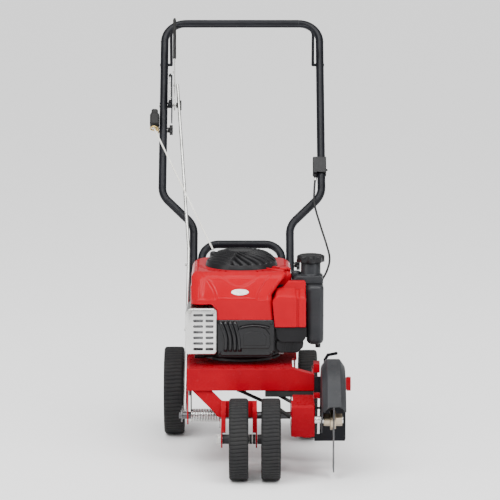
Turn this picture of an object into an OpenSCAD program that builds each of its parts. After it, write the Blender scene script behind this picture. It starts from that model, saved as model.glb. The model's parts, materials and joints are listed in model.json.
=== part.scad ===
// Walk-behind petrol lawn edger: vertical-shaft engine on a small steel deck,
// two front wheels on a swinging yoke, a fixed rear wheel, a hinged kerb wheel
// and a guarded vertical blade. Millimetres, +Z up, front of the machine at -Y,
// +X on the blade side, origin on the ground below the middle of the outline.

/* [Wheels] */
// Front wheel diameter
front_wheel_d = 178; // [170:1:180]
// Front wheel tread width
front_wheel_w = 42; // [36:1:42]
// Rear wheel diameter
rear_wheel_d = 203.2; // [196:0.2:205]
// Rear wheel tread width
rear_wheel_w = 43; // [36:1:44]
// Width of the rear left tyre
rear_left_w = 46; // [42:1:48]
// Thickness of the rubber tyres
tyre_t = 14; // [10:1:18]
// Axle bolt diameter
axle_d = 12.7; // [10:0.1:14]

/* [Blade] */
// Blade diameter across the tips
blade_d = 228.6; // [215:0.1:229]
// Blade thickness
blade_t = 2.6; // [2:0.1:4]
// Blade spindle diameter
spindle_d = 15.9; // [12:0.1:18]

/* [Deck] */
// Sheet steel thickness of deck, yoke and brackets
sheet_t = 3; // [2:0.5:3]
// Height of the deck's top face above the ground
deck_top_z = 226; // [224:1:228]
// Depth of the deck's front plate
deck_front_h = 49; // [40:1:50]
// Pivot shaft diameter
shaft_d = 15.9; // [14:0.1:16]

/* [Handle] */
// Handle tube diameter
tube_d = 19; // [17:0.5:19]
// Handle tube wall
tube_wall = 1.5; // [1:0.1:2]
// Backward lean of the handle, degrees from upright
handle_lean = 35; // [34:0.5:36]
// Half the distance between the handle's uprights
upright_x = 187; // [180:1:190]
// Bail and lever wire diameter
bail_wire_d = 7; // [5:0.5:8]

/* [Engine] */
// Diameter of the crankshaft
crank_d = 22.2; // [19:0.1:24]
// Diameter of the starter housing on top
recoil_d = 162; // [140:1:166]
// Diameter of the fuel cap
fuel_cap_d = 60; // [50:1:64]

/* [Hidden] */
$fn = 48;

// The machine is laid out from the front axle; this is the middle of its outline
mid_x = 9;
mid_y = 365.1;

// Radial clearance of a pin that turns in a bore
run_fit = 0.05;

// Wheels: centre of each along X, and its axle
front_left_x = -5.5;
front_right_x = 64.5;
front_axle_z = front_wheel_d / 2;
rear_left_x = -157;
rear_axle_y = 455;
rear_axle_z = rear_wheel_d / 2;
kerb_x = 152.5;
kerb_axle_y = 415;
kerb_pivot_y = 252;
kerb_pivot_z = 132;

// Yoke and its shaft
shaft_y = 120;
shaft_z = 115.5;
shaft_x0 = -133;
shaft_x1 = 110;
yoke_left_x = -42.4;
yoke_right_x = 33;
crank_pin_y = 172;
crank_pin_z = 114;
crank_pin_d = 5;

// Engine and crank axis
crank_y = 255;
belt_z = 165;
engine_pulley_r = 35;

// Blade spindle axis
blade_x = 200.5;
spindle_y = 10;
spindle_z = 130;
spindle_pulley_x = 135;
spindle_pulley_r = 20;
belt_d = 8;

// Belt idler: its stud, and its roller at rest
idler_x = 96;
idler_y = 270;
idler_tip = [83, 219];

// Deck outline
deck_left_x = -120;
deck_right_x = 160;
deck_front_y = 90;
deck_neck_y = 200;
deck_rear_y = 365;
deck_waist_x = 121;
slope_x = 113;
lip_depth = 24;

// Handle plane: origin in the middle of the top bar
handle_y = 833;
handle_z = 928;
bail_y = 767.2;
bail_z = 834;
lever_y = 703.5;
lever_z = 743;
lever_x = -161;
lever_lean = 8.5;
lever_arm = 47.5;
rod_top_y = lever_y + lever_arm * sin(lever_lean);
rod_top_z = lever_z + lever_arm * cos(lever_lean);
rod_d = 7;

// Rope, from the starter housing to the guide on the handle
rope_start = [-64, 262, 462];
rope_end = [-208.5, 650, 694];

// Route of the clutch cable, from the block on the handle to the deck
cable_route = [[173, 592, 584], [170, 565, 558], [170, 530, 528], [182, 490, 487], [196, 450, 446],
    [202, 405, 421], [195, 362, 400], [180, 330, 378], [160, 312, 340], [136, 306, 300],
    [112, 308, 262], [104, 310, 240], [102, 311, 228]];

function unit(v) = v / norm(v);

// Rings of a round sweep along a list of points, as one closed polyhedron
function ring_dir(p, i) = unit(p[min(i + 1, len(p) - 1)] - p[max(i - 1, 0)]);
function ring_side(d) = unit(cross(d, abs(d[0]) > 0.9 ? [0, 0, 1] : [1, 0, 0]));
module sweep(p, d, sides = 8) {
    points = [for (i = [0:len(p) - 1], k = [0:sides - 1])
        let (t = ring_dir(p, i), u = ring_side(t), v = cross(t, u), a = 360 * k / sides)
        p[i] + d / 2 * (cos(a) * u + sin(a) * v)];
    walls = [for (i = [0:len(p) - 2], k = [0:sides - 1])
        [i * sides + k, i * sides + (k + 1) % sides,
            (i + 1) * sides + (k + 1) % sides, (i + 1) * sides + k]];
    first = [for (k = [0:sides - 1]) sides - 1 - k];
    last = [for (k = [0:sides - 1]) (len(p) - 1) * sides + k];
    polyhedron(points, concat(walls, [first, last]));
}

// Moves the layout so that the outline's middle is over the origin
module place() { translate([-mid_x, -mid_y, 0]) children(); }

// A block between two corners
module block(x0, x1, y0, y1, z0, z1) { translate([x0, y0, z0]) cube([x1 - x0, y1 - y0, z1 - z0]); }

// Round bars along each axis
module bar_x(x0, x1, y, z, d) { translate([x0, y, z]) rotate([0, 90, 0]) cylinder(h = x1 - x0, d = d); }
module bar_y(y0, y1, x, z, d) { translate([x, y0, z]) rotate([-90, 0, 0]) cylinder(h = y1 - y0, d = d); }
module bar_z(z0, z1, x, y, d) { translate([x, y, z0]) cylinder(h = z1 - z0, d = d); }
module hex_x(x0, x1, y, z, flats) {
    translate([x0, y, z]) rotate([0, 90, 0]) cylinder(h = x1 - x0, d = flats / cos(30), $fn = 6);
}

// A flat outline drawn in Y and Z, thick along X, and one drawn in X and Z, thick along Y
module plate_x(x0, x1) { translate([x0, 0, 0]) rotate([90, 0, 90]) linear_extrude(x1 - x0) children(); }
module plate_y(y0, y1) { translate([0, y1, 0]) rotate([90, 0, 0]) linear_extrude(y1 - y0) children(); }

// A bar from one point to another
module rod(a, b, d) {
    v = b - a;
    translate(a) rotate([0, acos(v[2] / norm(v)), atan2(v[1], v[0])]) cylinder(h = norm(v), d = d);
}

// A round bar bent in a plane: straight runs joined by arcs of radius r. Each arc is a hair thinner
// and runs a little way into its straights, by these degrees.
lap = 1.2;
shave = 0.3;
function turn_at(p, i) = let (u = unit(p[i - 1] - p[i]), v = unit(p[i + 1] - p[i])) 180 - acos(u * v);
function trim_at(p, i, r) = (i == 0 || i == len(p) - 1) ? 0 : r * tan(turn_at(p, i) / 2);
module bent_bar(p, r, d, extra = 0) {
    for (i = [0:len(p) - 2]) {
        u = unit(p[i + 1] - p[i]);
        a = p[i] + u * (trim_at(p, i, r) - (i == 0 ? extra : 0));
        b = p[i + 1] - u * (trim_at(p, i + 1, r) - (i == len(p) - 2 ? extra : 0));
        rod([a[0], a[1], 0], [b[0], b[1], 0], d);
    }
    for (i = [1:len(p) - 2]) {
        u = unit(p[i - 1] - p[i]);
        v = unit(p[i + 1] - p[i]);
        turn = turn_at(p, i);
        c = p[i] + unit(u + v) * r / cos(turn / 2);
        left = v[0] * u[1] - v[1] * u[0] > 0;
        from = left ? u : v;
        s = p[i] + from * r * tan(turn / 2) - c;
        translate([c[0], c[1], 0]) rotate([0, 0, atan2(s[1], s[0]) - lap])
            rotate_extrude(angle = turn + 2 * lap) translate([r, 0]) circle(d = d - shave);
    }
}

// Frame of the handle: X across, Y up the tubes, Z square to the handle's plane
module on_handle() { translate([0, handle_y, handle_z]) rotate([90 - handle_lean, 0, 0]) children(); }
function on_handle_y(z) = handle_y - (handle_z - z) * tan(handle_lean);
function along_handle(z) = -(handle_z - z) / cos(handle_lean);

// ---------------------------------------------------------------- deck and blade housing

side_plate_outline = [[90, 177], [90, 226], [365, 226], [480, 122], [478, 90], [452, 82], [330, 177],
    [150, 177], [141, 108], [129, 97], [111, 97], [100, 108], [98, 177]];

module deck_frame() color("crimson") place() difference() {
    union() {
        // Top plate, wide at the front and narrow beside the kerb wheel
        translate([0, 0, deck_top_z - sheet_t]) linear_extrude(sheet_t) polygon([
            [deck_left_x, deck_front_y], [slope_x, deck_front_y], [slope_x, deck_neck_y],
            [deck_waist_x, deck_neck_y + 30], [deck_waist_x, deck_rear_y], [deck_left_x, deck_rear_y]]);
        plate_y(deck_front_y, deck_front_y + lip_depth) polygon([
            [slope_x, deck_top_z], [deck_right_x, deck_top_z - 13],
            [deck_right_x, deck_top_z - 16], [slope_x, deck_top_z - sheet_t]]);
        // Front plate, its upper edge sloping down towards the blade
        plate_y(deck_front_y, deck_front_y + sheet_t) polygon([[deck_left_x, deck_top_z - deck_front_h],
            [deck_right_x, deck_top_z - deck_front_h], [deck_right_x, deck_top_z - 13],
            [slope_x, deck_top_z], [deck_left_x, deck_top_z]]);
        // Left side plate, with the shaft ear in front and the wheel arm behind
        plate_x(deck_left_x, deck_left_x + sheet_t) polygon(side_plate_outline);
        // Right side plate and the return of the waist
        block(deck_right_x - sheet_t, deck_right_x, 90, deck_neck_y, 177, 213);
        plate_x(deck_waist_x - sheet_t, deck_waist_x) polygon([[deck_neck_y + 20, 177],
            [deck_neck_y + 20, 226], [deck_rear_y, 226], [deck_rear_y, 196], [300, 177], [274, 112],
            [232, 112], [226, 177]]);
        block(deck_left_x, deck_waist_x, deck_rear_y - sheet_t, deck_rear_y, 190, 226);
        // Ears that hold the feet of the handle tubes
        for (s = [-1, 1]) plate_x(s * ear_x - 1.5, s * ear_x + 1.5) polygon([[318, 200], [318, 226],
            [352, 275], [392, 275], [365, 200]]);
        for (x = [deck_left_x - 4, deck_waist_x - 2]) block(x, x + 6, 318, 364, 200, 203);
        // Rear wheel axle stud with its washer and nut
        bar_x(deck_left_x - 59, deck_left_x, rear_axle_y, rear_axle_z, axle_d);
        hex_x(deck_left_x - 59, deck_left_x - 51.6, rear_axle_y, rear_axle_z, 19);
        bar_x(deck_left_x - 12, deck_left_x, rear_axle_y, rear_axle_z, 24);
        // Kerb arm pivot stud
        bar_x(deck_waist_x, deck_waist_x + 15, kerb_pivot_y, kerb_pivot_z, axle_d);
        // Toothed bracket that the kerb lever rests in
        plate_x(deck_right_x, deck_right_x + 14) polygon([[150, 206], [150, 225], [190, 225], [190, 198],
            [184, 198], [184, 206]]);
        // Stud of the belt idler
        bar_z(150, deck_top_z - sheet_t, idler_x, idler_y, 9.5);
    }
    // Crankshaft opening, mounting slots and the shaft bore
    bar_z(deck_top_z - 10, deck_top_z + 10, 0, crank_y, 62);
    bar_z(deck_top_z - 10, deck_top_z + 10, 102, 311, 8);
    bar_x(deck_left_x - 5, deck_left_x + 8, shaft_y, shaft_z, shaft_d + 2 * run_fit);
    for (x = [-70, 70], y = [200, 310]) bar_z(deck_top_z - 10, deck_top_z + 10, x, y, 8.5);
    for (s = [-1, 1]) bar_x(s * ear_x - 5, s * ear_x + 5, on_handle_y(262), 262, 6.4);
}

module spindle_housing() color("crimson") place() {
    outline = [[-22, 131], [0, 94], [150, 94], [150, 177], [128, 177], [118, 168], [-18, 168], [-22, 163]];
    inner = [[-19, 132], [1, 97], [160, 97], [160, 190], [128, 172], [118, 165], [-17, 165], [-19, 162]];
    difference() {
        plate_x(108, 159) polygon(outline);
        plate_x(111, 156) polygon(inner);
        // Belt window in the left wall
        block(100, 112, 34, 97, 98, 168);
        bar_x(100, 112, shaft_y, shaft_z, shaft_d + 2 * run_fit);
        bar_x(100, 112, spindle_y, spindle_z, 35);
        bar_x(150, 170, spindle_y, spindle_z, 35);
    }
    // Low feet and the formed stiffening lip below
    block(114, 122, 8, 30, 91, 94);
    block(134, 152, 8, 30, 90, 94);
}

module spindle_bearings() color("silver") place()
    for (x = [108, 149]) difference() {
        bar_x(x, x + 10, spindle_y, spindle_z, 35);
        bar_x(x - 1, x + 11, spindle_y, spindle_z, spindle_d + 2 * run_fit);
    }

// Hood that follows the blade's circle: a section of radius and X, swept about the spindle
guard_r = 132;
guard_x0 = 173;
guard_x1 = 224.5;
module guard_section(inset) polygon([[40 + inset, guard_x0 + inset], [guard_r - 16, guard_x0 + inset],
    [guard_r - inset, guard_x0 + 11 + inset / 2], [guard_r - inset, guard_x1 - 11 - inset / 2],
    [guard_r - 16, guard_x1 - inset], [40 + inset, guard_x1 - inset]]);
module guard_sweep(inset) translate([0, spindle_y, spindle_z]) rotate([0, 90, 0]) rotate_extrude($fn = 96)
    guard_section(inset);

module guard_hood() difference() {
    guard_sweep(0);
    guard_sweep(2);
    translate([0, spindle_y, spindle_z]) rotate([0, 90, 0]) cylinder(h = 400, r = 60);
    // Lower edge of the walls; the inner wall comes down round the spindle
    block(160, 240, -140, 160, -10, 171);
    block(160, 240, 130, 160, 100, 300);
    // Arched opening in the front face
    plate_y(-130, -90) polygon([[178, 160], [178, 172], [185, 181], [192, 183], [208, 183],
        [215, 181], [220, 172], [220, 160]]);
}

module blade_guard() color("dimgray") place() {
    guard_hood();
    difference() {
        plate_x(173, 175) polygon([[-60, 174], [-24, 108], [62, 108], [98, 174]]);
        bar_x(170, 180, spindle_y, spindle_z, 40);
    }
}

module guard_bracket() color("dimgray") place() difference() {
    union() {
        block(deck_right_x, 173, 92, 98, 173, 208);
        block(deck_right_x, 173, 96, 150, 173, 176);
        for (z = [120, 147]) bar_x(159, 173, 52, z, 5);
    }
    bar_z(170, 180, 166, 130, 8);
}

module debris_shield() color("#222222") place()
    plate_y(130, 132.5) polygon([[162, 55], [229, 55], [231, 60], [231, 178], [173.4, 178], [173.4, 71],
        [162, 71]]);

module line_indicator() color("red") place() {
    block(guard_x1, 228, -8, 12, 200, 224);
    block(228, 237, -4, 8, 197, 226);
}

// ---------------------------------------------------------------- handle

upright_t = along_handle(545);
leg_t = along_handle(480);
foot_t = along_handle(238);
ear_x = 123.4;
upper_path = [[-112, foot_t], [-112, leg_t], [-upright_x, upright_t], [-upright_x, 0], [upright_x, 0],
    [upright_x, upright_t], [112, leg_t], [112, foot_t]];
hoop_x = 92.6;
hoop_path = [[-hoop_x, foot_t], [-hoop_x, along_handle(440)], [hoop_x, along_handle(440)],
    [hoop_x, foot_t]];

// A tube with its bore; cross holes are children
module bent_tube(p, r) difference() {
    bent_bar(p, r, tube_d, $fn = 32);
    bent_bar(p, r, tube_d - 2 * tube_wall, 1, $fn = 32);
    children();
}

handle_bolt_zs = [262, 397];
module handle_upper() color("#1c1c1e") place() on_handle() bent_tube(upper_path, 50) {
    for (s = [-1, 1], z = handle_bolt_zs)
        translate([s * 112 - 15, along_handle(z), 0]) rotate([0, 90, 0]) cylinder(h = 30, d = 6.5);
    for (s = [-1, 1])
        translate([s * upright_x - 15, along_handle(bail_z), 0]) rotate([0, 90, 0])
            cylinder(h = 30, d = bail_wire_d + 2 * run_fit);
    for (z = [688, lever_z])
        translate([-upright_x - 15, along_handle(z), 0]) rotate([0, 90, 0]) cylinder(h = 30, d = 6.5);
}

module handle_lower() color("#1c1c1e") place() on_handle() bent_tube(hoop_path, 38)
    for (s = [-1, 1], z = handle_bolt_zs)
        translate([s * hoop_x - 15, along_handle(z), 0]) rotate([0, 90, 0]) cylinder(h = 30, d = 6.5);

// Carriage bolts through handle feet, and those of the lever bracket and rope guide
module handle_bolts() color("silver") place() on_handle() {
    for (s = [-1, 1], z = handle_bolt_zs) {
        reach = s > 0 ? [78, 129.5] : [-132, -78];
        translate([reach[0], along_handle(z), 0]) rotate([0, 90, 0])
            cylinder(h = reach[1] - reach[0], d = 6.4);
    }
    for (z = [688, lever_z]) {
        translate([-198, along_handle(z), 0]) rotate([0, 90, 0])
            cylinder(h = z == lever_z ? 48 : 28, d = 6.4);
        translate([-198, along_handle(z), 0]) rotate([0, 90, 0]) cylinder(h = 1.4, d = 12);
    }
}

module wing_knob(x, z, dir) {
    translate([x, along_handle(z), 0]) rotate([0, 90 * dir, 0]) difference() {
        union() {
            cylinder(h = 5, d = 13);
            translate([0, 0, 5]) linear_extrude(8)
                polygon([for (a = [0:10:350]) (10.8 + 1.4 * cos(6 * a)) * [cos(a), sin(a)]]);
        }
        translate([0, 0, -1]) cylinder(h = 9, d = 6.5);
    }
}

module handle_knobs() color("#151515") place() on_handle() {
    wing_knob(121.7, handle_bolt_zs[1], 1);
    wing_knob(125.2, handle_bolt_zs[0], 1);
    wing_knob(-82.9, handle_bolt_zs[1], 1);
    wing_knob(-82.9, handle_bolt_zs[0], 1);
    wing_knob(-177.3, 688, 1);
    wing_knob(-157.5, lever_z, 1);
}

// Lever stops: a notched sector beside the lever, on a spacer from the upright
notch_step = 7.6;
module depth_quadrant() color("#2a2a2c") place() difference() {
    union() {
        plate_x(-169, -166) difference() {
            translate([lever_y, lever_z]) union() {
                circle(r = 15);
                intersection() {
                    circle(r = 73);
                    polygon([[0, -8], [26, 90], [-60, 90], [-14, -6]]);
                }
                polygon([[-12, 0], [12, 0], [-16, -42], [-32, -30]]);
            }
            // Six notches, one for each cutting depth
            for (i = [0:5]) translate([lever_y, lever_z]) rotate([0, 0, 81.5 + i * notch_step])
                translate([73, 0]) circle(r = 3);
        }
        bar_x(-177.4, -169, lever_y, lever_z, 14);
    }
    bar_x(-180, -160, lever_y, lever_z, 6.6);
}

// Eye for the starter rope, on a wire stem from the washer under the bolt head
module rope_guide() color("#c9a227") place() {
    translate(rope_end) rotate([-38, 0, 0]) rotate_extrude() translate([8.5, 0]) circle(d = 4);
    rod([-200.8, 656.3, 687], rope_end + [3, 8, -1], 4.5);
    translate([0, on_handle_y(688), 688]) rotate([90 - handle_lean, 0, 0]) difference() {
        translate([-upright_x - tube_d / 2 - 3.5, 0, 0]) rotate([0, 90, 0]) cylinder(h = 2, d = 17);
        translate([-210, 0, 0]) rotate([0, 90, 0]) cylinder(h = 30, d = 12.1);
    }
}

module cable_block() color("#1a1a1a") place() on_handle() difference() {
    union() {
        translate([167, along_handle(590), -12]) cube([32, 42, 24]);
        translate([173, along_handle(592), 0]) rotate([90, 0, 0]) cylinder(h = 9, d = 9);
        translate([198, along_handle(600), 0]) rotate([0, 90, 0]) cylinder(h = 5, d = 4);
    }
    translate([upright_x, along_handle(700), 0]) rotate([90, 0, 0]) cylinder(h = 200, d = tube_d + 0.1);
}

module clutch_cable() color("#161616") place() sweep(cable_route, 5, 8);

// ---------------------------------------------------------------- engine

module engine_block() color("gray") place() difference() {
    union() {
        bar_z(deck_top_z, deck_top_z + 9, 0, crank_y, 176);
        bar_z(deck_top_z + 9, deck_top_z + 18, 0, crank_y, 160);
        bar_z(deck_top_z + 18, 345, 0, crank_y, 140);
        bar_z(345, 398, 0, crank_y, 58);
        // Cylinder barrel pointing forward, its fins and the head
        block(-38, 38, 140, 200, 258, 328);
        for (y = [152:9:188]) block(-50, 50, y, y + 2.5, 252, 334);
        block(-48, 66, 133, 146, 255, 331);
        // Oil filler boss at the rear
        bar_y(290, 348, -52, 262, 26);
    }
    bar_z(200, 400, 0, crank_y, crank_d + 2 * run_fit);
    bar_y(330, 360, -52, 262, 18.2);
    for (x = [-70, 70], y = [200, 310]) bar_z(220, 250, x, y, 8.5);
}

shroud_top_z = 431;
module shroud_plan(inset) {
    polygon([[-111 + inset, 135 + inset], [-96 + inset, 117 + inset], [66 - inset, 117 + inset],
        [66 - inset, 182 + inset], [111 - inset, 182 + inset], [111 - inset, 330],
        [92 - inset, 372 - inset], [60, 384 - inset], [-62, 384 - inset], [-94 + inset, 372 - inset],
        [-111 + inset, 330]]);
}

// Shroud volume at an inset, its front leaning back towards the top
module shroud_body(inset, z0, z1) difference() {
    translate([0, 0, z0]) linear_extrude(z1 - z0) shroud_plan(inset);
    plate_x(-130, 130) translate([inset, 0])
        polygon([[90, 362], [117, 362], [140, 420], [152, 445], [90, 445]]);
}

module engine_shroud() color("red") place() difference() {
    shroud_body(0, 331, shroud_top_z);
    shroud_body(3, 320, shroud_top_z - 3);
    // Air opening under the starter housing
    bar_z(420, 440, 0, crank_y, recoil_d - 12);
    // Corner cut away round the muffler
    block(-130, -53, 100, 215, 320, 360);
    // Cooling slots on both shoulders
    for (s = [-1, 1], i = [0:3]) translate([s * 96, 236 + i * 24, 425]) rotate([0, 0, s * 12])
        cube([10, 12, 20], center = true);
}

module recoil_cover() color("#202022") place() difference() {
    translate([0, crank_y, shroud_top_z]) rotate_extrude() difference() {
        polygon([[0, 35], [30, 35], [52, 32], [68, 24], [77, 13], [recoil_d / 2, 0], [0, 0]]);
        polygon([[-1, 32], [30, 32], [50, 29.4], [66, 22], [74, 12], [recoil_d / 2 - 4, -1], [-1, -1]]);
    }
    // Slanted air slots
    for (a = [-150:15:15]) translate([0, crank_y, shroud_top_z]) rotate([0, 0, a])
        translate([44, 0, 20]) rotate([0, 0, 38]) cube([44, 4.5, 40], center = true);
    // Rope outlet
    translate(rope_start - [0, 0, 3]) rotate([90, 0, 20]) cylinder(h = 40, d = 8, center = true);
}

module valve_cover() color("#1b1b1b") place() difference() {
    union() {
        plate_y(113, 133) polygon([[-54, 268], [-46, 255], [60, 255], [70, 264], [70, 312], [62, 331],
            [-54, 331]]);
        plate_y(108, 113) polygon([[-44, 276], [-38, 262], [52, 262], [66, 272], [62, 312], [52, 324],
            [-44, 324]]);
    }
    for (x = [-47, 61], z = [264, 321]) bar_y(100, 120, x, z, 7);
}

// Muffler can and its slotted guard
module muffler() color("gray") place() {
    block(-116, -62, 122, 190, 266, 346);
    bar_x(-62, -50, 160, 300, 20);
}

module muffler_guard() color("silver") place() difference() {
    plate_y(110, 205) polygon([[-123.5, 262], [-116, 254], [-60, 254], [-54, 260], [-54, 351], [-60, 357],
        [-116, 357], [-123.5, 349]]);
    block(-122, -40, 111.5, 210, 257, 355);
    // Seven rows of slots in two columns
    for (r = [0:6]) {
        block(-105, -85, 105, 113, 263.5 + r * 12.6, 269.5 + r * 12.6);
        block(-79, -62, 105, 113, 263.5 + r * 12.6, 269.5 + r * 12.6);
        block(-130, -120, 122, 190, 263.5 + r * 12.6, 269.5 + r * 12.6);
    }
}

module air_cleaner_base() color("#1e1e1e") place() {
    plate_y(122, 181) polygon([[78, 285], [86, 279], [136, 279], [142, 286], [142, 313], [72, 313]]);
    plate_y(126, 181) polygon([[76, 264], [86, 255], [122, 255], [135, 266], [137, 279], [76, 279]]);
}

module air_cleaner_cover() color("red") place() difference() {
    // Upright front, sloping top and raised back
    intersection() {
        plate_y(115, 167.5) polygon([[73.5, 313.2], [142, 313.2], [142, 411], [103, 411], [90, 397],
            [78, 397], [68.5, 374]]);
        plate_x(60, 150) polygon([[115, 313], [167.5, 313], [167.5, 411], [154, 411], [150, 398],
            [120, 387], [115, 382]]);
    }
    // Groove that marks the clip
    block(123, 125.5, 110, 118, 310, 375);
    intersection() {
        plate_y(118, 164.5) polygon([[76.5, 310], [139, 310], [139, 408], [104.5, 408], [91, 394],
            [80, 394], [71.8, 374]]);
        plate_x(60, 150) polygon([[118, 310], [164.5, 310], [164.5, 408], [156.5, 408],
            [152.3, 395.3], [121.5, 384.2], [118, 380.8]]);
    }
}

module carburetor() color("silver") place() difference() {
    union() {
        block(84, 106, 184, 214, 286, 322);
        bar_x(50.3, 86, 199, 304, 24);
        bar_z(262, 288, 95, 199, 30);
        bar_z(248, 264, 95, 199, 12);
        block(83, 94, 186, 196, 240, 290);
    }
    // The inlet pipe ends on the round of the crankcase
    bar_z(280, 330, 0, crank_y, 140.4);
}

module fuel_tank() color("#222225") place() {
    difference() {
        union() {
            translate([0, 0, 280]) linear_extrude(121) polygon([[144, 152], [151, 145], [175, 145],
                [182, 152], [182, 248], [175, 255], [151, 255], [144, 248]]);
            translate([0, 0, 268]) linear_extrude(12) polygon([[149, 158], [157, 150], [171, 150],
                [178, 158], [178, 240], [171, 248], [157, 248], [149, 240]]);
            plate_y(168, 236) polygon([[116, 401], [181, 401], [181, 413], [176, 419], [122, 419],
                [116, 413]]);
            bar_z(415, 446, 154, 200, 44);
            bar_z(259, 270, 170, 176, 12);
        }
        translate([0, 0, 283]) linear_extrude(115) polygon([[147, 153], [152, 148], [174, 148],
            [179, 153], [179, 247], [174, 252], [152, 252], [147, 247]]);
        bar_z(390, 450, 154, 200, 36.1);
    }
    // Strap that ties the tank to the engine
    block(112, 146, 226, 236, 396, 401);
}

module spark_plug() color("white") place() {
    bar_x(-86, -50, 166, 244, 13);
    hex_x(-58, -50, 166, 244, 16);
    bar_x(-104, -80, 166, 244, 18);
}

// Quarter-turn belt: two runs between the engine pulley and the spindle pulley
belt_arc_n = 8;
function engine_arc(a) = [engine_pulley_r * cos(a), crank_y + engine_pulley_r * sin(a), belt_z];
function spindle_arc(a) = [spindle_pulley_x, spindle_y - spindle_pulley_r * sin(a),
    spindle_z + spindle_pulley_r * cos(a)];
belt_start = [engine_pulley_r, crank_y - 19, belt_z];
belt_path = concat([belt_start, [engine_pulley_r + 1, crank_y - 25, belt_z], [85, 125, 158.5],
    [spindle_pulley_x, 30, spindle_z + spindle_pulley_r]],
    [for (i = [0:belt_arc_n]) spindle_arc(180 * i / belt_arc_n)],
    [[spindle_pulley_x, 30, spindle_z - spindle_pulley_r], [80, 118, 133],
        [-engine_pulley_r, crank_y - 30, 163.5], [-engine_pulley_r, crank_y - 16, belt_z]],
    [for (i = [0:belt_arc_n]) engine_arc(180 - 180 * i / belt_arc_n)], [belt_start + [0, 2, 0]]);
module drive_belt() color("#111111") place() sweep(belt_path, belt_d, 8);

module starter_rope() color("white") place()
    sweep([rope_start + [0, 0, 2], rope_start * 0.75 + rope_end * 0.25, rope_start * 0.5 + rope_end * 0.5,
        rope_start * 0.25 + rope_end * 0.75, rope_end], 3.6, 8);

// ---------------------------------------------------------------- yoke and front wheels

// Torsion spring round the shaft: a wound wire with a leg at each end
spring_turns = 17;
spring_step = 30;
spring_r = 13.6;
spring_wire_d = 3;
spring_x0 = -111;
spring_x1 = -48;
module torsion_spring() color("silver") place() difference() {
    union() {
        for (i = [0:spring_turns]) translate([spring_x0 + (spring_x1 - spring_x0) * i / spring_turns,
            shaft_y, shaft_z]) rotate([0, 90, 0]) rotate_extrude() translate([spring_r, 0])
            circle(d = spring_wire_d);
        bar_x(spring_x0, spring_x1, shaft_y, shaft_z + spring_r, 2);
        bar_z(84, shaft_z, spring_x1, shaft_y - spring_r, spring_wire_d);
        bar_z(98, shaft_z, spring_x0, shaft_y + spring_r, spring_wire_d);
    }
}

leg_outline = [[4, front_axle_z - 18.7], [124, 93.5], [141, 124], [98, 154], [92, 154],
    [-7, front_axle_z + 17.7]];
module yoke_leg(x0, flange_x0) {
    plate_x(x0, x0 + sheet_t) union() {
        polygon(leg_outline);
        translate([0, front_axle_z]) circle(r = 19);
        translate([shaft_y, shaft_z]) circle(r = 22);
    }
    // Flange folded along the upper edge
    plate_x(flange_x0, flange_x0 + 10) polygon([[-7, front_axle_z + 17.7], [92, 154], [94, 151],
        [-5.5, front_axle_z + 15]]);
}

module front_yoke() color("firebrick") place() difference() {
    union() {
        yoke_leg(yoke_left_x - sheet_t / 2, yoke_left_x - sheet_t / 2);
        yoke_leg(yoke_right_x - sheet_t / 2, yoke_right_x + sheet_t / 2 - 10);
        plate_y(92, 95) polygon([[yoke_left_x, 117], [yoke_right_x, 117], [yoke_right_x, 154],
            [yoke_left_x, 154]]);
        // Brace that runs up beside the spring
        plate_y(95, 98) polygon([[-42, 117], [-42, 153], [-74, 185], [-112, 185], [-112, 180], [-60, 128],
            [-52, 117]]);
    }
    for (x = [yoke_left_x, yoke_right_x]) {
        bar_x(x - 10, x + 10, shaft_y, shaft_z, shaft_d);
        bar_x(x - 10, x + 10, 0, front_axle_z, axle_d);
    }
}

module pivot_shaft() color("#1a1a1a") place() {
    bar_x(shaft_x0, shaft_x1, shaft_y, shaft_z, shaft_d);
    hex_x(shaft_x0 - 5, shaft_x0, shaft_y, shaft_z, 12);
}

// Arm on the shaft's end; its hole takes the foot of the depth rod with play
crank_hole_d = 12.8;
module depth_crank() color("#3a3a3c") place() plate_x(-133, -130) difference() {
    union() {
        translate([shaft_y, shaft_z]) circle(d = 30);
        translate([crank_pin_y, crank_pin_z]) circle(d = 24);
        polygon([[shaft_y, shaft_z - 14], [crank_pin_y, crank_pin_z - 11],
            [crank_pin_y, crank_pin_z + 11], [shaft_y, shaft_z + 14]]);
    }
    translate([shaft_y, shaft_z]) circle(d = shaft_d);
    translate([crank_pin_y, crank_pin_z]) circle(d = crank_hole_d);
}

module front_axle_bolts() color("silver") place() {
    hex_x(-53, -43.9, 0, front_axle_z, 19);
    bar_x(-50, 24, 0, front_axle_z, axle_d);
    hex_x(17, 24, 0, front_axle_z, 18.5);
    hex_x(24.6, 31.5, 0, front_axle_z, 18.5);
    bar_x(30, 84, 0, front_axle_z, axle_d);
    hex_x(78, 84, 0, front_axle_z, 18.5);
}

// ---------------------------------------------------------------- wheels

module tyre(d, w) color("#202020") rotate([0, 90, 0]) rotate_extrude($fn = 96) polygon([
    [d / 2 - tyre_t, -w / 2 + 3], [d / 2 - 8, -w / 2], [d / 2 - 3, -w / 2 + 1.2], [d / 2, -w / 2 + 5],
    [d / 2, w / 2 - 5], [d / 2 - 3, w / 2 - 1.2], [d / 2 - 8, w / 2], [d / 2 - tyre_t, w / 2 - 3]]);

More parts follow.
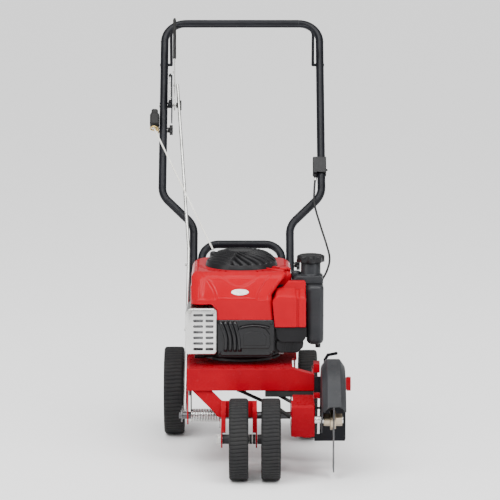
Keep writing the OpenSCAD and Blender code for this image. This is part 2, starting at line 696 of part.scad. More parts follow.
// Rim, dished web with round holes, and a hub that runs from hub_x0 to hub_x1
module hub(d, w, hub_x0, hub_x1) color("#2b2b2d") difference() {
    union() {
        rotate([0, 90, 0]) rotate_extrude($fn = 96) polygon([[d / 2 - tyre_t - 5, -w / 2 + 4],
            [d / 2 - tyre_t, -w / 2 + 3], [d / 2 - tyre_t, w / 2 - 3], [d / 2 - tyre_t - 5, w / 2 - 4]]);
        bar_x(-3, 3, 0, 0, d - 2 * tyre_t - 6);
        bar_x(-10, 10, 0, 0, 42);
        bar_x(hub_x0, hub_x1, 0, 0, 21);
    }
    bar_x(hub_x0 - 1, hub_x1 + 1, 0, 0, axle_d + 2 * run_fit);
    for (a = [0:60:300]) rotate([a, 0, 0]) bar_x(-5, 5, 0, d / 2 * 0.53, 18);
}

module at_front_left() { place() translate([front_left_x, 0, front_axle_z]) children(); }
module at_front_right() { place() translate([front_right_x, 0, front_axle_z]) children(); }
module at_rear_left() { place() translate([rear_left_x, rear_axle_y, rear_axle_z]) children(); }
module at_kerb() { place() translate([kerb_x, kerb_axle_y, rear_axle_z]) children(); }

module front_left_hub() at_front_left() hub(front_wheel_d, front_wheel_w, -35, 22);
module front_left_tyre() at_front_left() tyre(front_wheel_d, front_wheel_w);
module front_right_hub() at_front_right() hub(front_wheel_d, front_wheel_w, -29.5, 13);
module front_right_tyre() at_front_right() tyre(front_wheel_d, front_wheel_w);
module rear_left_hub() at_rear_left() hub(rear_wheel_d, rear_left_w, -14, 24.5);
module rear_left_tyre() at_rear_left() tyre(rear_wheel_d, rear_left_w);
module kerb_hub() at_kerb() hub(rear_wheel_d, rear_wheel_w, -21, 16);
module kerb_tyre() at_kerb() tyre(rear_wheel_d, rear_wheel_w);

// Swing arm with the kerb wheel's axle
module kerb_arm() color("firebrick") place() difference() {
    union() {
        plate_x(124.5, 128.5) union() {
            translate([kerb_pivot_y, kerb_pivot_z]) circle(r = 18);
            translate([kerb_axle_y, rear_axle_z]) circle(r = 17);
            polygon([[kerb_pivot_y - 2, kerb_pivot_z - 17], [kerb_axle_y - 2, rear_axle_z - 16],
                [kerb_axle_y + 3, rear_axle_z + 16], [kerb_pivot_y + 4, kerb_pivot_z + 17]]);
        }
        bar_x(128.5, 178, kerb_axle_y, rear_axle_z, axle_d);
        hex_x(170, 178, kerb_axle_y, rear_axle_z, 18.5);
        bar_x(128.5, 140, kerb_pivot_y, kerb_pivot_z, 26);
        bar_x(138, 182, kerb_pivot_y, kerb_pivot_z, 14);
    }
    bar_x(120, 137, kerb_pivot_y, kerb_pivot_z, axle_d + 2 * run_fit);
}

module kerb_lever() color("#1a1a1a") place() union() {
    bar_x(182, 192, kerb_pivot_y, kerb_pivot_z, 16);
    rod([188, kerb_pivot_y, kerb_pivot_z], [188, 246, 216], 7);
    translate([188, 246, 216]) sphere(d = 7.6);
    rod([188, 246, 216], [194.6, 246, 226.5], 7);
    translate([194.6, 246, 226.5]) sphere(d = 7.6);
    rod([194.6, 246, 226.5], [213, 244, 230.5], 7);
    translate([213, 244, 230.5]) sphere(d = 7.6);
}

// ---------------------------------------------------------------- drive

module crankshaft() color("lightgray") place() {
    bar_z(140, 424, 0, crank_y, crank_d);
    hex_h = 7;
    translate([0, crank_y, 424]) cylinder(h = hex_h, d = 24 / cos(30), $fn = 6);
}

module flywheel() color("gray") place() difference() {
    union() {
        bar_z(400, 412, 0, crank_y, 144);
        bar_z(398.4, 422, 0, crank_y, 50);
        for (a = [0:30:330]) translate([0, crank_y, 412]) rotate([0, 0, a]) translate([36, -1.5, -1])
            cube([32, 3, 12]);
    }
    bar_z(390, 430, 0, crank_y, crank_d);
}

// A grooved pulley, its belt line at height zero
module pulley(r, bore)
    rotate_extrude() polygon([[bore / 2, -10], [r + 3.4, -10], [r + 3.4, -8.5], [r - 5.2, -5], [r - 5.2, 5],
        [r + 3.4, 8.5], [r + 3.4, 10], [bore / 2, 10]]);

module engine_pulley() color("gray") place() translate([0, crank_y, belt_z]) pulley(engine_pulley_r, crank_d);

module blade_spindle() color("lightgray") place() bar_x(107, 221, spindle_y, spindle_z, spindle_d);

module spindle_pulley() color("gray") place() translate([spindle_pulley_x, spindle_y, spindle_z])
    rotate([0, 90, 0]) pulley(spindle_pulley_r, spindle_d);

// Straight two-ended blade with cropped corners
module blade() color("#4a4a4c") place() translate([blade_x, spindle_y, spindle_z]) rotate([90, 0, 90])
    difference() {
        linear_extrude(blade_t, center = true) intersection() {
            circle(d = blade_d, $fn = 96);
            polygon([[-22, -120], [22, -120], [22, -30], [25, 0], [22, 30], [22, 120], [-22, 120],
                [-22, 30], [-25, 0], [-22, -30]]);
        }
        cylinder(h = 20, d = spindle_d, center = true);
    }

module blade_clamp() color("silver") place() {
    difference() {
        union() {
            bar_x(179, 193, spindle_y, spindle_z, 27);
            bar_x(193, 199.2, spindle_y, spindle_z, 44);
            bar_x(201.8, 205, spindle_y, spindle_z, 40);
        }
        bar_x(170, 230, spindle_y, spindle_z, spindle_d);
    }
    difference() {
        hex_x(205, 219, spindle_y, spindle_z, 24);
        bar_x(200, 230, spindle_y, spindle_z, spindle_d);
    }
}

module idler_arm() color("silver") place() difference() {
    union() {
        bar_z(154, 176, idler_x, idler_y, 18);
        translate([0, 0, 172]) linear_extrude(4) polygon([[idler_x - 8, idler_y],
            [idler_tip[0] - 8, idler_tip[1] - 6], [idler_tip[0] + 8, idler_tip[1] - 6],
            [idler_x + 8, idler_y]]);
        bar_z(154, 172, idler_tip[0], idler_tip[1], 10);
    }
    bar_z(140, 200, idler_x, idler_y, 9.5 + 2 * run_fit);
}

module idler_pulley() color("#333333") place() difference() {
    bar_z(155, 170, idler_tip[0], idler_tip[1], 40);
    bar_z(150, 180, idler_tip[0], idler_tip[1], 10 + 2 * run_fit);
}

// ---------------------------------------------------------------- controls

// Bail: a bent wire that pivots in both uprights, leaning forward when released
bail_lean = 12;
bail_leg_x = 170;
bail_reach = 97;
module bail() color("#1a1a1a") place() translate([0, bail_y, bail_z]) rotate([90 + bail_lean, 0, 0]) {
    bent_bar([[-bail_leg_x, 0], [-bail_leg_x, bail_reach], [bail_leg_x, bail_reach], [bail_leg_x, 0]], 25,
        bail_wire_d);
    for (s = [-1, 1]) {
        translate([s * bail_leg_x, 0, 0]) sphere(d = bail_wire_d);
        translate([s * 183.7, 0, 0]) rotate([0, 90, 0]) cylinder(h = 27.4, d = bail_wire_d, center = true);
    }
}

module in_lever() {
    place() translate([lever_x, lever_y, lever_z]) rotate([-lever_lean, 0, 0]) children();
}
module depth_lever() color("silver") in_lever() difference() {
    union() {
        translate([-1.5, 0, 0]) rotate([90, 0, 90]) linear_extrude(3) union() {
            circle(r = 13);
            polygon([[-13, 0], [13, 0], [7, 30], [7, 196], [-7, 196], [-7, 30]]);
        }
        // Latch tooth that drops into the notches
        translate([-4.5, -3, 76]) cube([4, 6, 6]);
    }
    translate([-10, 0, 0]) rotate([0, 90, 0]) cylinder(h = 20, d = 6.4 + 2 * run_fit);
    translate([-10, 0, lever_arm]) rotate([0, 90, 0]) cylinder(h = 20, d = crank_pin_d + 2 * run_fit);
}

module lever_grip() color("#141414") in_lever() difference() {
    hull() {
        translate([0, 0, 112]) cube([7, 15, 4], center = true);
        translate([0, 0, 200]) cube([7.5, 16, 4], center = true);
        translate([0, 0, 207]) cube([5, 10, 3], center = true);
    }
    translate([-1.5, -7, 0]) cube([3, 14, 196]);
}

// Rod from the lever down past the engine to the arm on the pivot shaft
rod_a = [lever_x + 7, rod_top_y, rod_top_z];
rod_b = [-125.6, crank_pin_y, crank_pin_z];
rod_bend = [-122.4, 430, 438];
module depth_rod() color("gray") place() {
    rod(rod_a, rod_bend, rod_d);
    translate(rod_bend) sphere(d = rod_d + 0.6);
    rod(rod_bend, rod_b, rod_d);
    translate(rod_a) sphere(d = rod_d + 0.6);
    translate(rod_b) sphere(d = rod_d + 0.6);
    bar_x(lever_x - 3, rod_a[0], rod_top_y, rod_top_z, crank_pin_d);
    bar_x(-135, rod_b[0], crank_pin_y, crank_pin_z, crank_pin_d);
}

// Pull handle of the starter, on the end of the rope just above its guide
grip_at = rope_end + [0, 15, 19];
module starter_grip() color("#141414") place() translate(grip_at) rotate([-38, 0, 0]) difference() {
    union() {
        translate([0, 0, 12]) rotate([90, 0, 0]) cylinder(h = 50, d = 19, center = true);
        translate([0, 0, -8]) cylinder(h = 20, d1 = 10, d2 = 16);
    }
    translate([0, 0, -10]) cylinder(h = 14, d = 4);
}

module fuel_cap() color("#151515") place() difference() {
    union() {
        bar_z(446.4, 463, 154, 200, fuel_cap_d - 6);
        for (a = [0:45:315]) translate([154, 200, 446.4]) rotate([0, 0, a])
            translate([fuel_cap_d / 2 - 7, 0, 0]) cylinder(h = 13, d = 14);
        bar_z(430, 447, 154, 200, 36);
    }
    bar_z(425, 444, 154, 200, 30);
}

module oil_cap() color("#c8a028") place() {
    bar_y(348.4, 358, -52, 262, 28);
    bar_y(332, 349, -52, 262, 18);
    block(-54.5, -49.5, 357, 368, 252, 272);
}

deck_frame();
spindle_housing();
spindle_bearings();
blade_guard();
guard_bracket();
debris_shield();
line_indicator();
handle_upper();
handle_lower();
handle_bolts();
handle_knobs();
depth_quadrant();
rope_guide();
cable_block();
clutch_cable();
engine_block();
engine_shroud();
recoil_cover();
valve_cover();
muffler();
muffler_guard();
air_cleaner_base();
air_cleaner_cover();
carburetor();
fuel_tank();
spark_plug();
drive_belt();
starter_rope();
torsion_spring();
front_yoke();
pivot_shaft();
depth_crank();
front_axle_bolts();
front_left_hub();
front_left_tyre();
front_right_hub();
front_right_tyre();
rear_left_hub();
rear_left_tyre();
kerb_arm();
kerb_lever();
kerb_hub();
kerb_tyre();
crankshaft();
flywheel();
engine_pulley();
blade_spindle();
spindle_pulley();
blade();
blade_clamp();
idler_arm();
idler_pulley();
bail();
depth_lever();
lever_grip();
depth_rod();
starter_grip();
fuel_cap();
oil_cap();
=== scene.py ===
"""Looks of the walk-behind lawn edger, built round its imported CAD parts. Shapes are given in
millimetres of the machine's own layout (front axle at Y = 0), and P() turns them into metres of the
shared frame. Bevel widths are in millimetres too; modifiers, lights and the camera are in metres."""
import bpy
import bmesh
import json
import math
from mathutils import Matrix, Vector


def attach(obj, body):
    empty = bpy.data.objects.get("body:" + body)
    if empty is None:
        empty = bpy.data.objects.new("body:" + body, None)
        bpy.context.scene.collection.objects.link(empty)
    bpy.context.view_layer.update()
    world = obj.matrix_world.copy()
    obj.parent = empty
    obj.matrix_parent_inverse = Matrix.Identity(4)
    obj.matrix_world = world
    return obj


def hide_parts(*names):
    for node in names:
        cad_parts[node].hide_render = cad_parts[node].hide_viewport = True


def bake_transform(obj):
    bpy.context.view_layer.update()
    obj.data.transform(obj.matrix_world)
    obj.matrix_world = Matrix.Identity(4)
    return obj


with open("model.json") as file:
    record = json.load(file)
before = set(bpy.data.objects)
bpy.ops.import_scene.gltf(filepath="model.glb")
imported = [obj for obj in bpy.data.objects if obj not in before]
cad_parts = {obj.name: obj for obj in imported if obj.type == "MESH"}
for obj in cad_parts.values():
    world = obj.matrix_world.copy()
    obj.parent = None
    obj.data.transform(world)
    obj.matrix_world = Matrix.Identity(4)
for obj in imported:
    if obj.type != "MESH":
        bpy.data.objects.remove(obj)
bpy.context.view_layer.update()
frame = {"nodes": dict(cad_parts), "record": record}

# Centre of the machine's box in its own layout, which is the shared frame's origin
MID_X, MID_Y = 9.0, 365.1
# Angle between faces above which a cut piece's edge stays sharp
SHARP_ANGLE = math.radians(38)


def P(x, y, z):
    """Layout millimetres to metres of the shared frame."""
    return Vector(((x - MID_X) / 1000, (y - MID_Y) / 1000, z / 1000))


# ------------------------------------------------------------------ materials

# slot: base colour, second colour, roughness, metallic, coat, grain scale, bump strength,
#       worn colour, wear
LOOKS = {
    "red_paint": ((0.30, 0.0003, 0.008), (0.25, 0.0003, 0.007), 0.26, 0.0, 0.03, 900, 0.015,
                  (0.26, 0.20, 0.19), 0.22),
    "red_plastic": ((0.37, 0.0004, 0.009), (0.33, 0.0004, 0.008), 0.15, 0.0, 0.07, 700, 0.010,
                    (0.60, 0.10, 0.10), 0.05),
    "black_powder_coat": ((0.0045, 0.0048, 0.0065), (0.008, 0.0085, 0.011), 0.34, 0.0, 0.03, 1500, 0.14,
                          (0.14, 0.14, 0.14), 0.18),
    "guard_grey_paint": ((0.026, 0.027, 0.030), (0.019, 0.020, 0.022), 0.42, 0.0, 0.03, 1300, 0.14,
                         (0.16, 0.15, 0.15), 0.22),
    "zinc_plate": ((0.60, 0.60, 0.58), (0.42, 0.42, 0.40), 0.30, 1.0, 0.0, 1600, 0.12,
                   (0.30, 0.24, 0.18), 0.25),
    "bright_steel": ((0.72, 0.72, 0.71), (0.55, 0.55, 0.54), 0.24, 1.0, 0.0, 1200, 0.10,
                     (0.34, 0.28, 0.22), 0.18),
    "dark_steel": ((0.12, 0.12, 0.125), (0.08, 0.08, 0.085), 0.38, 0.85, 0.0, 1300, 0.18,
                   (0.36, 0.34, 0.32), 0.28),
    "dull_bronze": ((0.50, 0.42, 0.31), (0.38, 0.31, 0.22), 0.34, 1.0, 0.0, 1200, 0.14,
                    (0.30, 0.24, 0.16), 0.25),
    "yellow_zinc": ((0.62, 0.43, 0.12), (0.50, 0.36, 0.14), 0.28, 1.0, 0.0, 1200, 0.12,
                    (0.40, 0.33, 0.20), 0.22),
    "cast_aluminium": ((0.44, 0.44, 0.45), (0.30, 0.30, 0.31), 0.50, 0.9, 0.0, 900, 0.50,
                       (0.62, 0.62, 0.62), 0.25),
    "cast_iron": ((0.13, 0.13, 0.135), (0.09, 0.085, 0.08), 0.58, 0.7, 0.0, 700, 0.55,
                  (0.28, 0.22, 0.17), 0.30),
    "black_plastic": ((0.008, 0.008, 0.009), (0.012, 0.012, 0.013), 0.32, 0.0, 0.0, 1100, 0.28,
                      (0.10, 0.10, 0.10), 0.20),
    "gloss_black": ((0.004, 0.004, 0.005), (0.007, 0.007, 0.008), 0.20, 0.0, 0.0, 1100, 0.20,
                    (0.08, 0.08, 0.08), 0.15),
    "tank_plastic": ((0.016, 0.017, 0.019), (0.023, 0.024, 0.027), 0.34, 0.0, 0.0, 1000, 0.30,
                     (0.12, 0.12, 0.12), 0.18),
    "hub_plastic": ((0.022, 0.022, 0.024), (0.030, 0.030, 0.032), 0.40, 0.0, 0.0, 900, 0.30,
                    (0.13, 0.12, 0.11), 0.25),
    "tyre_rubber": ((0.013, 0.013, 0.014), (0.020, 0.020, 0.020), 0.58, 0.0, 0.0, 1000, 0.55,
                    (0.10, 0.09, 0.08), 0.35),
    "soft_grip": ((0.010, 0.010, 0.010), (0.016, 0.016, 0.016), 0.50, 0.0, 0.0, 1400, 0.45,
                  (0.09, 0.09, 0.09), 0.20),
    "belt_rubber": ((0.018, 0.018, 0.018), (0.035, 0.034, 0.033), 0.70, 0.0, 0.0, 800, 0.60,
                    (0.11, 0.11, 0.10), 0.30),
    "cable_jacket": ((0.013, 0.013, 0.014), (0.020, 0.020, 0.021), 0.32, 0.0, 0.0, 1500, 0.15,
                     (0.08, 0.08, 0.08), 0.15),
    "rope_fibre": ((0.78, 0.77, 0.72), (0.62, 0.60, 0.54), 0.75, 0.0, 0.0, 2400, 0.60,
                   (0.35, 0.32, 0.27), 0.30),
    "dipstick_plastic": ((0.60, 0.36, 0.04), (0.50, 0.30, 0.03), 0.32, 0.0, 0.2, 900, 0.15,
                         (0.40, 0.33, 0.20), 0.15),
}
# Specular level of the slots that aren't metal, and the one for the slots not named here
GLOSS = {"red_paint": 0.03, "red_plastic": 0.03, "gloss_black": 0.30, "black_powder_coat": 0.10,
         "tyre_rubber": 0.10, "tank_plastic": 0.20}
PLAIN_GLOSS = 0.16
METAL_GLOSS = 0.5
COAT_ROUGHNESS = 0.08
# Slots whose finish wears off at the edges, and how wide the worn edge is, in metres
PAINTED = ("red_paint", "black_powder_coat", "guard_grey_paint", "zinc_plate", "dark_steel")
WORN_EDGE = 0.0012
RELIEF_DEPTH = 0.0006
DUST = (0.36, 0.33, 0.29, 1)
materials = {}


def material(slot):
    """Procedural finish of a slot: colour clouds, dust on upward faces, edge wear, roughness and bump."""
    if slot in materials:
        return materials[slot]
    base, second, rough, metal, coat, grain, bump, worn, wear = LOOKS[slot]
    mat = bpy.data.materials.new(slot)
    mat.use_nodes = True
    tree = mat.node_tree
    link = tree.links.new
    shader = tree.nodes["Principled BSDF"]
    shader.inputs["Metallic"].default_value = metal
    gloss = METAL_GLOSS if metal > 0.5 else GLOSS.get(slot, PLAIN_GLOSS)
    shader.inputs["Specular IOR Level"].default_value = gloss
    if coat:
        shader.inputs["Coat Weight"].default_value = coat
        shader.inputs["Coat Roughness"].default_value = COAT_ROUGHNESS
    coord = tree.nodes.new("ShaderNodeTexCoord")

    def noise(scale, detail, rough_share=0.6):
        n = tree.nodes.new("ShaderNodeTexNoise")
        n.inputs["Scale"].default_value = scale
        n.inputs["Detail"].default_value = detail
        n.inputs["Roughness"].default_value = rough_share
        link(coord.outputs["Object"], n.inputs["Vector"])
        return n.outputs["Fac"]

    def ranged(value, a, b, c=0.0, d=1.0):
        n = tree.nodes.new("ShaderNodeMapRange")
        n.inputs["From Min"].default_value = a
        n.inputs["From Max"].default_value = b
        n.inputs["To Min"].default_value = c
        n.inputs["To Max"].default_value = d
        link(value, n.inputs["Value"])
        return n.outputs["Result"]

    def maths(kind, a, b):
        n = tree.nodes.new("ShaderNodeMath")
        n.operation = kind
        n.use_clamp = True
        for i, v in enumerate((a, b)):
            if isinstance(v, float):
                n.inputs[i].default_value = v
            else:
                link(v, n.inputs[i])
        return n.outputs[0]

    def mixed(fac, a, b):
        n = tree.nodes.new("ShaderNodeMixRGB")
        link(fac, n.inputs["Fac"])
        for key, v in (("Color1", a), ("Color2", b)):
            if isinstance(v, tuple):
                n.inputs[key].default_value = v
            else:
                link(v, n.inputs[key])
        return n.outputs["Color"]

    # Base colour in slow clouds of its second colour
    clouds = noise(14, 5)
    blotch = noise(90, 6, 0.7)
    fine = noise(grain, 3)
    colour = mixed(ranged(clouds, 0.35, 0.65), (*base, 1), (*second, 1))
    # Dust, on faces that look up
    geometry = tree.nodes.new("ShaderNodeNewGeometry")
    axes = tree.nodes.new("ShaderNodeSeparateXYZ")
    link(geometry.outputs["Normal"], axes.inputs[0])
    upward = ranged(axes.outputs["Z"], 0.55, 1.0, 0.0, 0.035)
    dust = maths("MULTIPLY", upward, ranged(blotch, 0.40, 0.72))
    colour = mixed(dust, colour, DUST)
    # Scuffs all over, and worn edges on painted and plated metal
    marks = maths("MULTIPLY", ranged(blotch, 0.60, 0.74), wear * 0.4)
    if slot in PAINTED:
        bevel = tree.nodes.new("ShaderNodeBevel")
        bevel.samples = 4
        bevel.inputs["Radius"].default_value = WORN_EDGE
        dot = tree.nodes.new("ShaderNodeVectorMath")
        dot.operation = "DOT_PRODUCT"
        link(bevel.outputs[0], dot.inputs[0])
        link(geometry.outputs["Normal"], dot.inputs[1])
        edge = ranged(dot.outputs["Value"], 0.985, 0.90)
        edge = maths("MULTIPLY", edge, ranged(blotch, 0.46, 0.64, 0.0, wear * 2))
        marks = maths("MAXIMUM", marks, edge)
    colour = mixed(marks, colour, (*worn, 1))
    link(colour, shader.inputs["Base Color"])
    # Uneven roughness, higher under dust, and a fine relief
    wet = ranged(noise(260, 5, 0.7), 0.3, 0.7, rough * 0.80, min(1.0, rough * 1.25))
    wet = maths("ADD", wet, maths("MULTIPLY", dust, 3.0))
    link(wet, shader.inputs["Roughness"])
    relief = tree.nodes.new("ShaderNodeBump")
    relief.inputs["Strength"].default_value = bump
    relief.inputs["Distance"].default_value = RELIEF_DEPTH
    link(fine, relief.inputs["Height"])
    link(relief.outputs["Normal"], shader.inputs["Normal"])
    materials[slot] = mat
    return mat


# ------------------------------------------------------------------ mesh helpers

def new_piece(name, verts, faces, slot, bevel=0.0, segments=3, angle=35):
    """A mesh piece in row metres with outward normals, smooth shading and softened edges."""
    mesh = bpy.data.meshes.new(name)
    mesh.from_pydata([tuple(v) for v in verts], [], faces)
    bm = bmesh.new()
    bm.from_mesh(mesh)
    bmesh.ops.remove_doubles(bm, verts=bm.verts, dist=1e-6)
    bmesh.ops.recalc_face_normals(bm, faces=bm.faces)
    for f in bm.faces:
        f.smooth = True
    bm.to_mesh(mesh)
    bm.free()
    obj = bpy.data.objects.new(name, mesh)
    bpy.context.scene.collection.objects.link(obj)
    mesh.materials.append(material(slot))
    soften(obj, bevel, segments, angle)
    return obj


def soften(obj, width, segments=3, angle=35):
    """Rounds the edges sharper than angle by width millimetres; a width of 0 leaves them."""
    if width:
        m = obj.modifiers.new("edges", "BEVEL")
        m.width = width / 1000
        m.segments = segments
        m.limit_method = "ANGLE"
        m.angle_limit = math.radians(angle)
        m.use_clamp_overlap = False
        m = obj.modifiers.new("normals", "WEIGHTED_NORMAL")
        m.keep_sharp = True


def settle(obj):
    """Turns the object's modifiers into its mesh."""
    bpy.context.view_layer.update()
    ready = obj.evaluated_get(bpy.context.evaluated_depsgraph_get())
    mesh = bpy.data.meshes.new_from_object(ready)
    obj.modifiers.clear()
    obj.data = mesh
    return obj


def cut(obj, cutters):
    """Takes the cutters away from obj, then removes them."""
    settle(obj)
    for c in cutters:
        settle(c)
    tool = join("cutter", cutters)
    m = obj.modifiers.new("cut", "BOOLEAN")
    m.operation = "DIFFERENCE"
    m.solver = "EXACT"
    m.use_self = True
    m.object = tool
    settle(obj)
    bpy.data.objects.remove(tool)
    for poly in obj.data.polygons:
        poly.use_smooth = True
    obj.data.set_sharp_from_angle(angle=SHARP_ANGLE)
    return obj


def join(name, parts):
    """One object from several, materials kept."""
    for p in parts:
        settle(p)
    bm = bmesh.new()
    slots = []
    for p in parts:
        start = len(bm.faces)
        bm.from_mesh(p.data)
        bm.faces.ensure_lookup_table()
        for mat in p.data.materials:
            if mat not in slots:
                slots.append(mat)
        for f in bm.faces[start:]:
            f.material_index = slots.index(p.data.materials[f.material_index])
    mesh = bpy.data.meshes.new(name)
    bm.to_mesh(mesh)
    bm.free()
    for mat in slots:
        mesh.materials.append(mat)
    for p in parts:
        bpy.data.objects.remove(p)
    obj = bpy.data.objects.new(name, mesh)
    bpy.context.scene.collection.objects.link(obj)
    return obj


replaced = set()


def hand_over(obj, body="root", nodes=()):
    """Names the body that carries a piece, and the CAD nodes that it stands for."""
    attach(obj, body)
    if nodes:
        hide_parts(*nodes)
        replaced.update(nodes)
    return obj


def rounded(points, radius, steps=6):
    """A flat outline with its corners turned into arcs; radius is one number, or one per corner."""
    out = []
    n = len(points)
    for i, p in enumerate(points):
        r = radius[i] if isinstance(radius, (list, tuple)) else radius
        p1 = Vector(p)
        u = Vector(points[i - 1]) - p1
        v = Vector(points[(i + 1) % n]) - p1
        reach = 0.48 * min(u.length, v.length)
        u.normalize()
        v.normalize()
        half = u.angle(v) / 2
        t = min(r / math.tan(half), reach)
        if t < 0.01:
            out.append(p1)
            continue
        r = t * math.tan(half)
        centre = p1 + (u + v).normalized() * (r / math.sin(half))
        a, b = p1 + u * t - centre, p1 + v * t - centre
        turn = a.angle_signed(b)
        for k in range(steps + 1):
            s = turn * k / steps
            c, d = math.cos(-s), math.sin(-s)
            out.append(centre + Vector((a.x * c - a.y * d, a.x * d + a.y * c)))
    return out


def loft(name, rings, slot, bevel=0.0, segments=3, caps=(True, True), closed=True, angle=35):
    """Skin over rings of points that all have the same count."""
    n = len(rings[0])
    verts = [v for ring in rings for v in ring]
    faces = []
    for i in range(len(rings) - 1):
        for k in range(n if closed else n - 1):
            a, b = i * n + k, i * n + (k + 1) % n
            faces.append((a, b, b + n, a + n))
    if caps[0]:
        faces.append(tuple(range(n - 1, -1, -1)))
    if caps[1]:
        faces.append(tuple((len(rings) - 1) * n + k for k in range(n)))
    return new_piece(name, verts, faces, slot, bevel, segments, angle)


def place3(axis, u, v, w):
    """Point from outline coordinates: u and v in the outline's plane, w along the axis."""
    return {"x": P(w, u, v), "y": P(u, w, v), "z": P(u, v, w)}[axis]


def prism(name, outline, axis, a, b, slot, bevel=1.0, segments=3):
    """An outline pushed along an axis, from a to b."""
    rings = [[place3(axis, p[0], p[1], w) for p in outline] for w in (a, b)]
    return loft(name, rings, slot, bevel, segments)


def box_piece(name, x0, x1, y0, y1, z0, z1, slot, bevel=1.0):
    return prism(name, [(x0, y0), (x1, y0), (x1, y1), (x0, y1)], "z", z0, z1, slot, bevel)


def lathe(name, profile, origin, turn, slot, steps=64, shape=None, ring_shaped=False):
    """Revolves (radius, height) points about local Z; turn is a 3x3 matrix, and shape(r, h, a) gives
    the radius. A ring-shaped profile is a closed loop that stays clear of the axis."""
    rings = []
    for r, h in profile:
        ring = []
        for k in range(steps):
            a = 2 * math.pi * k / steps
            q = shape(r, h, a) if shape else r
            local = turn @ Vector((q * math.cos(a), q * math.sin(a), h))
            ring.append(P(origin[0] + local.x, origin[1] + local.y, origin[2] + local.z))
        rings.append(ring)
    if ring_shaped:
        rings.append(rings[0])
    return loft(name, rings, slot, caps=(not ring_shaped, not ring_shaped))


def curve_points(points, per_span=8):
    """Smooth points through a list of machine points (Catmull-Rom)."""
    pts = [Vector(p) for p in points]
    pts = [2 * pts[0] - pts[1]] + pts + [2 * pts[-1] - pts[-2]]
    out = []
    for i in range(1, len(pts) - 2):
        p0, p1, p2, p3 = pts[i - 1:i + 3]
        for k in range(per_span):
            t = k / per_span
            out.append(0.5 * (2 * p1 + (p2 - p0) * t + (2 * p0 - 5 * p1 + 4 * p2 - p3) * t * t
                              + (3 * p1 - p0 - 3 * p2 + p3) * t ** 3))
    out.append(pts[-2])
    return out


def tube(name, points, radius, slot, sides=12, section=None):
    """A round bar along machine points; section(i, angle) may change the radius."""
    pts = [Vector(p) for p in points]
    side = None
    rings = []
    for i, p in enumerate(pts):
        d = (pts[min(i + 1, len(pts) - 1)] - pts[max(i - 1, 0)]).normalized()
        if side is None:
            side = d.orthogonal().normalized()
        side = (side - d * side.dot(d)).normalized()
        up = d.cross(side)
        ring = []
        for k in range(sides):
            a = 2 * math.pi * k / sides
            r = section(i, a) if section else radius
            q = p + (side * math.cos(a) + up * math.sin(a)) * r
            ring.append(P(*q))
        rings.append(ring)
    return loft(name, rings, slot)


def smooth_step(x, a, b):
    """Goes smoothly from 0 at a to 1 at b, which may be below a."""
    t = min(1.0, max(0.0, (x - a) / (b - a)))
    return t * t * (3 - 2 * t)


def spun(u, v, degrees):
    """A point of the plan, turned about the crankshaft's axis from its place at angle 0."""
    c, s = math.cos(math.radians(degrees)), math.sin(math.radians(degrees))
    return u * c - v * s, CRANK_Y + u * s + v * c


def dense_outline(outline, counts):
    """An outline with each of its sides split into its own count of spans."""
    dense = []
    for i, p in enumerate(outline):
        q = outline[(i + 1) % len(outline)]
        dense += [p.lerp(q, k / counts[i]) for k in range(counts[i])]
    return dense


def side_counts(outline, span):
    """How many spans of about the given length each side of an outline takes."""
    n = len(outline)
    return [max(1, int((outline[(i + 1) % n] - p).length / span)) for i, p in enumerate(outline)]


def tilt_x(degrees):
    return Matrix.Rotation(math.radians(degrees), 3, "X")


AXIS_X = Matrix.Rotation(math.radians(90), 3, "Y")
UPRIGHT = Matrix.Identity(3)
FORWARD = tilt_x(90)


# ------------------------------------------------------------------ wheels

def tyre(name, x, y, z, d, w, body, node, blocks):
    """Ribbed tyre: blocks across the tread, rounded shoulders, plain side walls."""
    steps = blocks * 8
    half = w / 2
    shoulder, drop = 5, 4.2
    profile = [(d / 2 - 14, -half + 3), (d / 2 - 11, -half + 0.6), (d / 2 - 8, -half)]
    across = 14
    for k in range(across + 1):
        u = -half + w * k / across
        edge = max(0.0, abs(u) - (half - shoulder)) / shoulder
        crown = 0.5 * (u / half) ** 2
        fall = drop * (1 - math.sqrt(max(0.0, 1 - edge * edge)))
        profile.append((d / 2 - crown - fall, u * 0.995))
    profile += [(d / 2 - 8, half), (d / 2 - 11, half - 0.6), (d / 2 - 14, half - 3)]

    def ribs(r, h, a):
        if r < d / 2 - 9:
            return r
        wave = 0.10 * math.sin(6.28 * h / w)
        phase = (a / (2 * math.pi) * blocks + wave) % 1.0
        groove = smooth_step(phase, 0.0, 0.12) - smooth_step(phase, 0.26, 0.38)
        depth = 2.4 if r > d / 2 - 5 else 0.9
        return r - depth * groove

    obj = lathe(name, profile, (x, y, z), AXIS_X, "tyre_rubber", steps, ribs, ring_shaped=True)
    return hand_over(obj, body, [node])


FRONT_D, REAR_D = 178, 203.2
tyre("front_left_ribbed_tyre", -5.5, 0, FRONT_D / 2, FRONT_D, 42, "front_left_wheel",
     "front_left_tyre", 64)
tyre("front_right_ribbed_tyre", 64.5, 0, FRONT_D / 2, FRONT_D, 42, "front_right_wheel",
     "front_right_tyre", 64)
tyre("rear_left_ribbed_tyre", -157, 455, REAR_D / 2, REAR_D, 46, "rear_left_wheel", "rear_left_tyre", 68)
tyre("kerb_ribbed_tyre", 152.5, 415, REAR_D / 2, REAR_D, 43, "kerb_wheel", "kerb_tyre", 68)


# ------------------------------------------------------------------ engine

# Top of the shroud and Y of the crankshaft, whose axis is at X = 0
SHROUD_TOP = 431
CRANK_Y = 255
# The shroud's top edge is an arc of this radius
TOP_ARC = 16.5
ARC_FOOT = SHROUD_TOP - TOP_ARC
# X and Y of the fuel tank's filler
FILLER = (154, 200)


